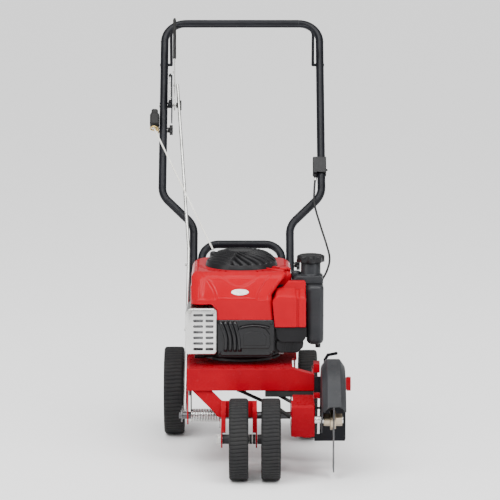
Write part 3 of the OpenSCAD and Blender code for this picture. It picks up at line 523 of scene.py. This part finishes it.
def shroud_shell():
    """Red blower housing: rounded plan, leaning front with a proud band and a U-shaped panel."""
    def corner_x(z):
        """X of the front right corner, which follows the air cleaner's lid."""
        above = max(0.0, min(1.0, (z - 384) / 47))
        below = max(0.0, min(1.0, (378 - z) / 47))
        return 66 + 40 * above ** 1.1 + 4.6 * below

    def plan(z):
        x, half, front = corner_x(z), 111, 117
        corners = [(-half, front), (x, front), (x, 184), (half, 184), (half, 384), (-half, 384)]
        return rounded(corners, [30, 12, 22, 22, 58, 58], 8)

    bottom, lean_from = 331, 374
    counts = side_counts(plan(bottom), 2.6)
    levels = [bottom + 1.9 * k for k in range(44)]
    levels += [ARC_FOOT + TOP_ARC * math.sin(math.radians(a)) for a in range(6, 91, 6)]
    rings = []
    for z in levels:
        inset = 0.0
        if z > ARC_FOOT:
            inset = TOP_ARC - math.sqrt(max(0.0, TOP_ARC ** 2 - (z - ARC_FOOT) ** 2))
        back = 24 * max(0.0, (z - lean_from) / 46) ** 1.2 if z > lean_from else 0.0
        dense = dense_outline(plan(z), counts)
        count = len(dense)
        normals = []
        for i in range(count):
            t = dense[(i + 2) % count] - dense[i - 2]
            normals.append(Vector((t.y, -t.x)).normalized())
        ring = []
        # How far each point of the front and the sides stands proud of the plan
        for p, n in zip(dense, normals):
            front = smooth_step(-n.y, 0.35, 0.9) * smooth_step(p.y, 175, 150)
            top_band = smooth_step(z, lean_from, lean_from + 4)
            half = 46 + 36 * max(0.0, (z - 376) / 55) ** 2
            panel = smooth_step(half - abs(p.x + 10), -1.5, 2.5)
            smile = 403 + 0.0135 * (p.x + 3) ** 2
            inner = smooth_step(z - smile, -1.5, 2.0)
            push = front * ((1 - top_band) * 1.6 + top_band * (2.4 * panel - 2.4 * inner * panel))
            side = smooth_step(abs(n.x), 0.7, 0.95)
            push += side * 1.2 * (smooth_step(z, 352, 355) - smooth_step(z, 398, 401))
            q = p + n * (push - inset)
            lean = back * smooth_step(p.y, 210, 130)
            ring.append(P(q.x, max(q.y, 113) + lean, z))
        rings.append(ring)
    # The flat top ends at a round hole, which the starter housing covers
    hole = []
    for v in rings[-1]:
        x, y = v.x * 1000 + MID_X, v.y * 1000 + MID_Y - CRANK_Y
        s = 72 / math.hypot(x, y)
        hole.append(P(x * s, CRANK_Y + y * s, SHROUD_TOP))
    rings.append(hole)
    obj = loft("engine_shroud_shell", rings, "red_plastic", caps=(False, False))
    m = obj.modifiers.new("wall", "SOLIDIFY")
    m.thickness = 0.0026
    m.offset = -1
    settle(obj)
    corner = rounded([(-140, 320), (-53, 320), (-53, 352), (-66, 366), (-140, 362)], [1, 1, 8, 8, 1])
    cutters = [prism("corner", corner, "y", 95, 205, "red_plastic", 0)]
    for a in (*range(186, 250, 9), *range(291, 355, 9)):
        vent = rounded([(88, -2.6), (101, -2.6), (101, 2.6), (88, 2.6)], 2.4, 4)
        vent = [spun(u, v, a) for u, v in vent]
        cutters.append(prism("vent", vent, "z", 414, 440, "red_plastic", 0))
    cut(obj, cutters)
    return hand_over(obj, "root", ["engine_shroud"])


def starter_dome():
    """Black starter housing: thin arcs on one side, swept louvres on the other."""
    profile = [(81.0, 0.0), (80.2, 3.0), (77.0, 12.0), (72, 18.6), (66, 23.8), (58, 28.6), (48, 31.6),
               (36, 33.8), (26, 34.6), (25, 33.4), (10, 33.4), (4, 33.4)]
    steps = 360
    fine = []
    for (r0, h0), (r1, h1) in zip(profile, profile[1:]):
        n = max(1, int(math.hypot(r1 - r0, h1 - h0) / 1.1))
        fine += [(r0 + (r1 - r0) * k / n, h0 + (h1 - h0) * k / n) for k in range(n)]
    rings = []
    for r, h in fine:
        ring = []
        for k in range(steps):
            a = 2 * math.pi * k / steps
            on_slope = smooth_step(r, 27, 31) - smooth_step(r, 75, 78)
            louvre_side = smooth_step(math.cos(a - math.radians(345)), -0.10, 0.0)
            sweep = (math.degrees(a) - (r - 30) * 1.15) / 15.0 % 1.0
            louvre = smooth_step(sweep, 0.0, 0.12) - smooth_step(sweep, 0.50, 0.64)
            arc_phase = (r + 9 * math.sin(2 * a)) / 6.4 % 1.0
            arcs = smooth_step(arc_phase, 0.0, 0.3) - smooth_step(arc_phase, 0.5, 0.8)
            groove = on_slope * (louvre_side * louvre * 9.0 + (1 - louvre_side) * arcs * 3.4)
            # Grooves go down, and inwards too where the slope is steep
            q = r - min(1.0, r / 90) * groove * 0.6
            ring.append(P(q * math.cos(a), CRANK_Y + q * math.sin(a), SHROUD_TOP + h - groove * 0.8))
        rings.append(ring)
    dome = loft("starter_housing_louvred", rings, "black_plastic", caps=(False, True))
    outlet = [(8, 0), (8, 9), (6.5, 10.5), (4.2, 10.5), (4.2, 2)]
    collar = lathe("outlet", outlet, (-63, 258, 449), tilt_x(-38), "black_plastic", 32)
    return hand_over(join("starter_housing", [dome, collar]), "root", ["recoil_cover"])


def valve_cover():
    """Black cylinder cover: rounded body, bowed ribs on one side, a raised panel with an arched edge."""
    def arc(x0, x1, z, height, first, share, count):
        """Points from x0 to x1 along part of an arch, from first of its half turn over share of it."""
        return [(x0 + (x1 - x0) * t / count, z + height * math.sin(math.pi * (first + share * t / count)))
                for t in range(count + 1)]

    body = rounded([(-54, 262), (-44, 250), (62, 250), (74, 262), (72, 331), (-54, 331)], 7)
    parts = [prism("body", body, "y", 114, 133, "gloss_black", 3.5, 4)]
    for i in range(4):
        x = -47 + i * 10.5
        bow = 13 - i * 2
        pts = []
        for t in range(11):
            swell = math.sin(math.pi * t / 10)
            pts.append((x + bow * swell * 0.5 + t * 1.2, 113.5 - 2.2 * swell, 327 - 6.6 * t))
        parts.append(tube("rib", pts, 4.6, "gloss_black", 12))
    arch = [(-6, 268), (60, 268), (64, 276), (62, 300)]
    arch += arc(62, -6, 300, 17, 0.16, 0.62, 8)[1:]
    parts.append(prism("panel", rounded(arch, 3, 3), "y", 108.5, 116, "gloss_black", 1.6, 4))
    inner = [(4, 275), (54, 275), (55, 294)]
    inner += arc(55, 5, 294, 12, 0.18, 0.6, 8)[1:]
    parts.append(prism("panel_face", rounded(inner, 2, 3), "y", 107.2, 110, "gloss_black", 0.9, 3))
    brow = [(x, 107.9, z) for x, z in arc(-4, 62, 305, 14, 0.22, 0.56, 12)]
    parts.append(tube("brow", brow, 2.1, "gloss_black", 10))
    for x, z in ((-48, 259), (66, 258), (66, 324)):
        screw = [(3.6, 0), (3.6, 2.4), (3.0, 3.2), (0.6, 3.2)]
        parts.append(lathe("screw", screw, (x, 114.4, z), FORWARD, "gloss_black", 24))
    return hand_over(join("cylinder_cover", parts), "root", ["valve_cover"])


def engine_skirt():
    """Rounded black skirt round the foot of the engine, with a step and a lip."""
    profile = [(78, 18), (88, 19), (92.5, 16), (94, 11), (94, 6), (92, 2.2), (89, 2.2), (88.6, 8),
               (80, 9.6)]
    obj = lathe("engine_skirt", profile, (0, 250, 231), UPRIGHT, "black_plastic", 120)
    ledge = rounded([(-52, 244), (66, 244), (72, 252), (66, 259), (-50, 259)], 4)
    ledge = prism("ledge", ledge, "y", 126, 180, "black_plastic", 2.5)
    return hand_over(join("engine_foot_skirt", [obj, ledge]), "root")


def crankcase_ribs():
    """Vertical ribs and a bolted flange round the bare back of the crankcase."""
    parts = []
    for a in range(28, 160, 11):
        outline = [spun(u, v, a) for u, v in ((68, -1.3), (75.5, -1.0), (75.5, 1.0), (68, 1.3))]
        parts.append(prism("rib", outline, "z", 268, 326, "cast_iron", 0.7, 2))
    ring = [(69, 0), (77.5, 0), (78.5, 1), (78.5, 6), (77.5, 7), (69, 7)]
    parts.append(lathe("flange", ring, (0, CRANK_Y, 259), UPRIGHT, "cast_iron", 120, ring_shaped=True))
    bolt = [(4.6, 0), (5.2, 0.8), (5.2, 4), (4.4, 5), (0.5, 5)]
    for a in range(20, 170, 25):
        parts.append(lathe("bolt", bolt, (*spun(74, 0, a), 266), UPRIGHT, "zinc_plate", 6))
    return hand_over(join("crankcase_ribs", parts), "root")


def muffler_guard():
    """Bright pressed guard with rounded corners and two columns of slots."""
    outline = rounded([(-123.5, 254), (-54, 254), (-54, 357), (-123.5, 357)], [9, 7, 9, 13], 6)
    inner = [(-121.7, 255.8), (-55.8, 255.8), (-55.8, 355.2), (-121.7, 355.2)]
    inner = rounded(inner, [8, 6, 8, 12], 6)
    obj = prism("muffler_guard_pressed", outline, "y", 110, 205, "bright_steel", 3.2, 4)
    cut(obj, [prism("hollow", inner, "y", 111.8, 215, "bright_steel", 2.2, 3)])
    cutters = []
    for row in range(7):
        z = 263.5 + row * 12.6
        # Two slots through the front, and one through the side, in which u is Y
        for u0, u1, axis, a, b in ((-106, -84, "y", 104, 116), (-79, -61, "y", 104, 116),
                                   (124, 188, "x", -130, -118)):
            slot = rounded([(u0, z), (u1, z), (u1, z + 6), (u0, z + 6)], 2.6, 4)
            cutters.append(prism("slot", slot, axis, a, b, "bright_steel", 0))
    cut(obj, cutters)
    screw = [(5, 0), (5, 2.5), (4, 3.6), (0.5, 3.6)]
    screws = [lathe("screw", screw, (x, 110, 351), FORWARD, "zinc_plate", 24) for x in (-114, -62)]
    guard = join("muffler_guard_slotted", [obj] + screws)
    return hand_over(guard, "root", ["muffler_guard"])


def air_cleaner():
    """Red lid with a sloping top and a clip groove, on its black base."""
    def lid(name, left, x1, lift, inset):
        """Slices from the upright front over the sloping top. left gives X at the foot, at the
        shoulder and at the top; lift lowers the top, and inset moves the front back."""
        foot, shoulder, peak = left
        rings = []
        for y, top in ((115.2, 379), (116.4, 382.4), (119.5, 385.6), (150, 397)):
            y, top = y + inset, top - lift
            outline = [(foot, 314), (x1, 314), (x1, top), (peak, top), (shoulder, min(372, top - 8))]
            outline = rounded(outline, [2, 3, 7, 9, 9], 6)
            rings.append([P(p[0], y, p[1]) for p in outline])
        return loft(name, rings, "red_plastic", 1.0, 3)

    def slab(name, outline, radius, y0, y1, slot, bevel):
        return prism(name, rounded(outline, radius), "y", y0, y1, slot, bevel)

    back = [(78, 314), (142, 314), (142, 411), (103, 411), (90, 397), (78, 392)]
    cover = [lid("main", (73.5, 68.0, 78), 121.6, 0, 0),
             lid("clip", (126.4, 126.4, 126.4), 142, 1.5, 0.9),
             lid("web", (110, 110, 110), 130, 3.0, 3.0),
             slab("back", back, [2, 2, 5, 6, 5, 4], 148.6, 167.4, "red_plastic", 2.0)]
    hand_over(join("air_cleaner_lid", cover), "root", ["air_cleaner_cover"])

    upper = [(74, 313.4), (141.5, 313.4), (141.5, 288), (134, 279), (88, 279), (78, 287)]
    lower = [(76, 283), (138, 283), (136, 267), (123, 255), (86, 255), (76, 263)]
    seam = [(73, 309.5), (142.4, 309.5), (142.4, 313), (73, 313)]
    base = [slab("upper", upper, 4, 121, 181, "black_plastic", 2.2),
            slab("lower", lower, 6, 125, 181, "black_plastic", 2.6),
            slab("seam", seam, 1, 119.4, 182, "black_plastic", 0.7),
            box_piece("heat_shield", 58, 86, 134, 183, 254, 336, "black_plastic", 2.0),
            box_piece("backing", 78, 143.7, 169, 181, 300, 399, "black_plastic", 1.0),
            box_piece("side_lip", 139, 143.6, 125, 168, 290, 312, "black_plastic", 1.2)]
    for x in (92, 100, 108, 116):
        base.append(box_piece("fin", x, x + 2.4, 122.5, 150, 259, 280, "black_plastic", 0.6))
    hand_over(join("air_cleaner_foot", base), "root", ["air_cleaner_base"])


def fuel_tank():
    """Rounded black tank with a dented upper front, a saddle on top and a filler neck."""
    rings = []
    levels = [268, 269, 271.5, 276, 282] + [282 + 3.4 * k for k in range(1, 33)]
    levels += [394, 397.5, 400, 401]
    plan = rounded([(144, 145), (182, 145), (182, 255), (144, 255)], 12, 8)
    dense = dense_outline(plan, side_counts(plan, 3.2))
    centre = Vector((163, 200))
    for z in levels:
        low = 12 - math.sqrt(max(0.0, 144 - max(0.0, 280 - z) ** 2))
        high = 7 - math.sqrt(max(0.0, 49 - max(0.0, z - 394) ** 2))
        inset = low + high
        seam = 0.9 if 330 < z < 334 else 0.0
        ring = []
        for p in dense:
            out = p - centre
            shrink = Vector((out.x * (1 - inset / 19), out.y * (1 - inset / 55)))
            dent = 1.8 * smooth_step(z, 366, 374) * smooth_step(z, 392, 384)
            dent *= 0.5 + 0.5 * math.sin(p.x * 0.55 + z * 0.34) * math.cos(p.x * 0.21 - z * 0.5)
            face = smooth_step(-out.y, 48, 54)
            q = centre + shrink * (1 - (dent * face) / 54) + shrink.normalized() * seam
            ring.append(P(q.x, q.y, z))
        rings.append(ring)
    parts = [loft("tank", rings, "tank_plastic")]
    saddle = rounded([(116, 401), (181, 401), (181, 413), (174, 419), (124, 419), (116, 413)], 3)
    parts.append(prism("saddle", saddle, "y", 168, 236, "tank_plastic", 2.6, 4))
    neck = [(27, 0), (27, 2), (23, 4.5), (22, 8), (22, 29), (21.2, 30.5), (18.2, 30.5), (18.2, -2)]
    parts.append(lathe("neck", neck, (*FILLER, 415), UPRIGHT, "tank_plastic", 64))
    drain = [(6, 0), (6, 10), (3.4, 10), (3.4, 0)]
    parts.append(lathe("drain", drain, (170, 176, 258), UPRIGHT, "tank_plastic", 24))
    parts.append(box_piece("strap", 112, 148, 225, 237, 396.5, 401, "tank_plastic", 0.8))
    tether = [(9, 0), (10.5, 4), (10.5, 14), (9, 17), (2, 17)]
    parts.append(lathe("cap_tether", tether, (121, 205, 408), UPRIGHT, "tank_plastic", 24))
    hand_over(join("fuel_tank_moulded", parts), "root", ["fuel_tank"])

    def lobes(r, h, a):
        return r + (2.1 * math.cos(8 * a) - 0.6 if r > 26 else 0.0)

    cap = [(15.2, -14), (15.2, -2), (18, -2), (18, 0.5), (28.5, 0.4), (29.3, 1.4), (29.3, 12.2),
           (28.2, 14.6), (26, 15.9), (19, 16.6), (17.5, 15.4), (8, 15.0), (2, 15.0)]
    lid = lathe("fuel_cap_lobed", cap, (*FILLER, 446.4), UPRIGHT, "black_plastic", 128, lobes)
    hand_over(lid, "fuel_cap", ["fuel_cap"])


shroud_shell()
starter_dome()
valve_cover()
engine_skirt()
crankcase_ribs()
muffler_guard()
air_cleaner()
fuel_tank()


# ------------------------------------------------------------------ spring, rope, cable, grips

def torsion_spring():
    """Return spring of the yoke, wound on the pivot shaft."""
    turns, per_turn = 18, 26
    x0, x1, r = -111.0, -48.0, 13.6
    coil = []
    for k in range(turns * per_turn + 1):
        a = 2 * math.pi * k / per_turn
        x = x0 + (x1 - x0) * k / (turns * per_turn)
        coil.append((x, 120 + r * math.cos(a), 115.5 + r * math.sin(a)))
    coil = [(x0, 133.6, 98)] + coil + [(x1, 133.6, 112), (x1, 133.0, 84)]
    spring = tube("wound_spring", coil, 1.35, "bright_steel", 8)
    hand_over(spring, "root", ["torsion_spring"])


def laid_rope(name, a, b, radius, lay=14.0, strands=3, step=1.6):
    """A straight rope from a to b: a round section whose strands turn once in each lay."""
    n = int((b - a).length / step)
    pts = [a.lerp(b, k / n) for k in range(n + 1)]

    def section(i, angle):
        return radius * (1 + 0.16 * math.cos(strands * (angle - 2 * math.pi * i * step / lay)))

    return tube(name, pts, radius, "rope_fibre", 12, section)


# Ends of the rope at the starter housing and at the guide, as in part.scad
ROPE_START = Vector((-64, 262, 462))
ROPE_END = Vector((-208.5, 650, 694))
rope = laid_rope("starter_rope_laid", ROPE_START + Vector((0, 0, 2)), ROPE_END, 1.75)
hand_over(rope, "root", ["starter_rope"])

# The cable's route, as in part.scad
CABLE_ROUTE = [(173, 592, 584), (170, 565, 558), (170, 530, 528), (182, 490, 487), (196, 450, 446),
               (202, 405, 421), (195, 362, 400), (180, 330, 378), (160, 312, 340), (136, 306, 300),
               (112, 308, 262), (104, 310, 240), (102, 311, 228)]


def clutch_cable():
    """Black jacket with a plated ferrule at each end."""
    def chamfered(i, angle):
        return 3.4 if i in (1, 2) else 2.8

    parts = [tube("jacket", curve_points(CABLE_ROUTE, 8), 2.5, "cable_jacket", 12)]
    for end, inward in (CABLE_ROUTE[:2], CABLE_ROUTE[:-3:-1]):
        a = Vector(end)
        step = (Vector(inward) - a).normalized()
        pts = [a, a + step * 1, a + step * 9, a + step * 10]
        parts.append(tube("ferrule", pts, 3.4, "zinc_plate", 16, chamfered))
    hand_over(join("clutch_cable_jacketed", parts), "root", ["clutch_cable"])


clutch_cable()


def lever_grip():
    """Ribbed vinyl sleeve on the depth lever."""
    rings = []
    turn = tilt_x(-8.5)
    for k in range(49):
        h = 110 + k * 2.05
        end = min(1.0, math.sqrt(max(0.0, (209.5 - h) / 6)),
                  math.sqrt(max(0.02, (h - 109.5) / 2)))
        swell = 1 + 0.10 * math.sin(h * 0.29) if 118 < h < 196 else 1.0
        flat = rounded([(-3.8, -8), (3.8, -8), (3.8, 8), (-3.8, 8)], 3.4, 4)
        ring = []
        for p in flat:
            v = turn @ Vector((p[0] * end, p[1] * end * swell, h))
            ring.append(P(-161 + v.x, 703.5 + v.y, 743 + v.z))
        rings.append(ring)
    sleeve = loft("lever_grip_sleeve", rings, "soft_grip")
    hand_over(sleeve, "depth_lever", ["lever_grip"])


def starter_grip():
    """Block-shaped pull with fine ribs and a narrower head."""
    origin = ROPE_END + Vector((0, 15, 19))
    lean = tilt_x(-38)
    # Height on the grip, half width, half depth
    sections = [(-17.6, 8.0, 9.0), (-16.4, 10.4, 11.4), (-14, 11.2, 12.4), (8, 11.2, 12.6),
                (11, 10.6, 12.0), (13.5, 9.0, 10.4), (16, 8.2, 9.6), (22, 7.8, 9.2), (25, 6.6, 8.0),
                (26.4, 4.0, 5.0)]
    rings = []
    for (w0, x0, y0), (w1, x1, y1) in zip(sections, sections[1:]):
        steps = max(1, int((w1 - w0) / 0.7))
        for k in range(steps + (w1 == sections[-1][0])):
            s = k / steps
            w, hx, hy = w0 + (w1 - w0) * s, x0 + (x1 - x0) * s, y0 + (y1 - y0) * s
            wave = 1 - 0.035 * (0.5 + 0.5 * math.cos(w * 1.5)) if -13 < w < 7 else 1.0
            flat = rounded([(-hx, -hy), (hx, -hy), (hx, hy), (-hx, hy)], 0.5 * hx, 5)
            ring = []
            for q in flat:
                v = lean @ Vector((q.x * wave, q.y * wave, w))
                ring.append(P(origin.x + 0.9 + v.x, origin.y + v.y, origin.z + v.z))
            rings.append(ring)
    grip = loft("starter_pull_grip", rings, "soft_grip")
    hand_over(grip, "starter_grip", ["starter_grip"])
    # The rope between the guide and the grip, straight from one to the other
    tail = laid_rope("starter_rope_tail", ROPE_END + Vector((0, 1, 1)),
                     origin + lean @ Vector((0, 0, -5)), 1.7)
    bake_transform(tail)


def ratchet_spring():
    """Coil beside the depth lever, between two studs."""
    low, high = Vector((-172.6, 710, 753)), Vector((-172.6, 748, 808))
    turn = (high - low).to_track_quat("Z", "Y").to_matrix()
    length, r, turns, per_turn = (high - low).length, 2.7, 15, 16
    coil = []
    for k in range(turns * per_turn + 1):
        a = 2 * math.pi * k / per_turn
        h = length * k / (turns * per_turn)
        coil.append(low + turn @ Vector((r * math.cos(a), r * math.sin(a), h)))
    hand_over(tube("depth_ratchet_spring", coil, 0.75, "bright_steel", 8), "root")
    stud = [(2.6, 0), (2.6, 1.5), (4.6, 1.8), (5.2, 2.4), (5.2, 5.6), (4.6, 6.2), (1, 6.2)]
    studs = [lathe("stud", stud, (-176.2, y, z), AXIS_X, "black_plastic", 24)
             for y, z in ((high.y + 1.5, high.z + 2), (low.y - 1.5, low.z - 2))]
    hand_over(join("depth_ratchet_studs", studs), "root")


ratchet_spring()
torsion_spring()
lever_grip()
starter_grip()


def hex_nut(name, x0, x1, y, z, flats):
    """Plated nut with chamfered corners on an X axis bolt."""
    r = flats / math.sqrt(3)
    profile = [(r * 0.86, 0), (r, 1.2), (r, x1 - x0 - 1.2), (r * 0.86, x1 - x0)]
    nut = lathe(name, profile, (x0, y, z), AXIS_X, "zinc_plate", 6)
    soften(nut, 0.5, 2, 25)
    return nut


def washer(x0, x1, y, z, r):
    profile = [(r - 0.5, 0), (r, 0.5), (r, x1 - x0 - 0.5), (r - 0.5, x1 - x0)]
    return lathe("washer", profile, (x0, y, z), AXIS_X, "zinc_plate", 40)


def bolt_end(x0, x1, y, z, r):
    profile = [(r, 0), (r, x1 - x0 - 1), (r - 1, x1 - x0)]
    return lathe("end", profile, (x0, y, z), AXIS_X, "zinc_plate", 32)


def fasteners():
    """Nuts, washer and bolt end on the wheel studs and the front axle bolts."""
    left = [hex_nut("nut", -179.3, -171.7, 455, REAR_D / 2, 20.5),
            washer(-132.6, -119.6, 455, REAR_D / 2, 13)]
    hand_over(join("rear_left_stud_nut", left), "root")
    kerb = [hex_nut("nut", 169.6, 178.6, 415, REAR_D / 2, 20),
            bolt_end(178, 179.4, 415, REAR_D / 2, 6.6)]
    hand_over(join("kerb_wheel_nut", kerb), "kerb_arm")
    nut = [(9.6, 0), (11, 1), (11, 6), (9.6, 7)]
    middle = [lathe("nut", nut, (x, 0, FRONT_D / 2), AXIS_X, "hub_plastic", 6) for x in (16.9, 24.5)]
    hand_over(join("front_axle_lock_nuts", middle), "front_yoke")


def shade_sheet_and_hook():
    """Painted shade: a black rubber sheet below the deck's front that darkens the band where the deck's
    underside lies in shade. Also the small hook at the deck's left end.
    """
    # Painted shade: this black sheet stands where the deck's underside only lies in shade
    shade_sheet = prism("shade_sheet", rounded([(52, 163), (158, 163), (158, 177), (52, 177)], 2), "y", 91.5, 94.5,
                 "belt_rubber", 0.8)
    hook = box_piece("hook", -112, -109, 96, 99, 132, 177, "belt_rubber", 0.8)
    toe = box_piece("hook_toe", -112, -106, 96, 99, 130, 134, "belt_rubber", 0.8)
    hand_over(join("shade_sheet_and_hook", [shade_sheet, hook, toe]), "root")


def badge():
    """Blank oval plate that leans back with the shroud's front."""
    x, z, half_w, half_h, steps = -3, 391.5, 19.5, 6.6, 48
    rings = []
    for depth in (0.0, 3.0):
        ring = []
        for k in range(steps):
            a = 2 * math.pi * k / steps
            rise = half_h * math.sin(a)
            ring.append(P(x + half_w * math.cos(a), 121 + 0.52 * rise + depth, z + rise))
        rings.append(ring)
    hand_over(loft("blank_oval_badge", rings, "zinc_plate", 0.8, 3), "root")


fasteners()
shade_sheet_and_hook()
badge()


# ------------------------------------------------------------------ CAD parts that are shown as they are

SLOT_OF = {s["node"]: s["material_slot"] for s in frame["record"]["subparts"]}
# Nodes that look different from their slot's own finish
SHADED = {"muffler": "cast_aluminium", "engine_block": "cast_iron", "blade_clamp": "dull_bronze",
          "pivot_shaft": "dark_steel", "depth_rod": "zinc_plate"}
# Edge rounding in millimetres, and the one for the nodes not named here
EDGE = {"blade_guard": 2.2, "deck_frame": 0.8, "spindle_housing": 2.0, "handle_knobs": 1.2,
        "line_indicator": 1.0, "cable_block": 2.2, "spark_plug": 1.5, "blade": 0.4, "kerb_lever": 1.2,
        "engine_block": 1.0}
PLAIN_EDGE = 0.5
WELD_REACH = 0.00002
FLAT_ANGLE = math.radians(0.6)


def smooth_shading():
    """Node group that drops a mesh's stored normals and shades its faces smooth."""
    group = bpy.data.node_groups.new("smooth_shading", "GeometryNodeTree")
    for way in ("INPUT", "OUTPUT"):
        group.interface.new_socket("Geometry", in_out=way, socket_type="NodeSocketGeometry")
    start = group.nodes.new("NodeGroupInput")
    forget = group.nodes.new("GeometryNodeRemoveAttribute")
    forget.inputs["Name"].default_value = "custom_normal"
    smooth = group.nodes.new("GeometryNodeSetShadeSmooth")
    end = group.nodes.new("NodeGroupOutput")
    for a, b in ((start, forget), (forget, smooth), (smooth, end)):
        group.links.new(a.outputs[0], b.inputs[0])
    return group


SMOOTH = smooth_shading()


def finish_cad(node, obj):
    """Material, smooth shading, welded seams and softened edges for a CAD node, by modifiers only."""
    obj.data.materials.clear()
    obj.data.materials.append(material(SHADED.get(node, SLOT_OF[node])))
    obj.modifiers.new("shading", "NODES").node_group = SMOOTH
    obj.modifiers.new("weld", "WELD").merge_threshold = WELD_REACH
    flat = obj.modifiers.new("flat", "DECIMATE")
    flat.decimate_type = "DISSOLVE"
    flat.angle_limit = FLAT_ANGLE
    soften(obj, EDGE.get(node, PLAIN_EDGE), 3, 32)


for name, obj in frame["nodes"].items():
    if name not in replaced:
        finish_cad(name, obj)


# ------------------------------------------------------------------ floor, light, camera

def floor_material():
    """Pale matt floor with faint, slow clouds."""
    mat = bpy.data.materials.new("floor_pale")
    mat.use_nodes = True
    tree = mat.node_tree
    shader = tree.nodes["Principled BSDF"]
    shader.inputs["Roughness"].default_value = 0.80
    noise = tree.nodes.new("ShaderNodeTexNoise")
    noise.inputs["Scale"].default_value = 3
    mix = tree.nodes.new("ShaderNodeMixRGB")
    for key, tone in (("Color1", 0.95), ("Color2", 0.95 * 0.985)):
        mix.inputs[key].default_value = (tone, tone, tone, 1)
    tree.links.new(noise.outputs["Fac"], mix.inputs["Fac"])
    tree.links.new(mix.outputs["Color"], shader.inputs["Base Color"])
    return mat


def add_object(name, data):
    obj = bpy.data.objects.new(name, data)
    bpy.context.scene.collection.objects.link(obj)
    return obj


def area(name, place, aim, size, power, tint=(1, 1, 1)):
    """Rectangular lamp at place, turned towards aim."""
    data = bpy.data.lights.new(name, "AREA")
    data.shape = "RECTANGLE"
    data.size, data.size_y = size
    data.energy = power
    data.color = tint
    lamp = add_object(name, data)
    lamp.location = place
    lamp.rotation_euler = (Vector(aim) - Vector(place)).to_track_quat("-Z", "Y").to_euler()


def sun(name, aim, power):
    """Wide, soft sun that shines along aim."""
    data = bpy.data.lights.new(name, "SUN")
    data.energy = power
    data.angle = math.radians(35)
    add_object(name, data).rotation_euler = Vector(aim).to_track_quat("-Z", "Y").to_euler()


bpy.ops.mesh.primitive_plane_add(size=400, location=(0, 0, 0))
floor = bpy.context.object
floor.name = "studio_floor"
floor.data.materials.append(floor_material())

MACHINE = (0, 0, 0.4)
MACHINE_MIDDLE = (0, 0, 0.45)
area("top_soft", (0, -0.4, 3.6), MACHINE, (2.2, 1.6), 60)
area("left_soft", (-2.8, -2.0, 1.5), MACHINE_MIDDLE, (0.7, 2.2), 45, (1, 0.99, 0.98))
area("right_soft", (2.8, -2.2, 1.4), MACHINE_MIDDLE, (0.6, 2.0), 38, (0.98, 0.99, 1))
area("glint_left", (-1.0, -3.4, 3.2), MACHINE, (0.12, 0.12), 18)
area("glint_right", (1.3, -3.0, 3.4), MACHINE, (0.12, 0.12), 16)
area("front_soft", (0.3, -4.6, 3.0), MACHINE, (1.2, 0.6), 35)
sun("sun_left", (0.45, 0.75, -1.1), 2.6)
sun("sun_right", (-0.55, 0.75, -1.1), 2.0)

world = bpy.data.worlds.new("studio")
bpy.context.scene.world = world
world.use_nodes = True
background = world.node_tree.nodes["Background"]
background.inputs["Color"].default_value = (1, 1, 1, 1)
background.inputs["Strength"].default_value = 0.42

# The photo's camera: a long lens about 6 m in front of the machine, looking 9 degrees down
camera = bpy.data.cameras.new("photo_camera")
camera.lens = 194.8
camera.sensor_width = 36
camera.clip_end = 200
eye = add_object("photo_camera", camera)
eye.location = (0.010, -6.0986, 1.4127)
eye.rotation_euler = (math.radians(81), 0, 0)
bpy.context.scene.camera = eye
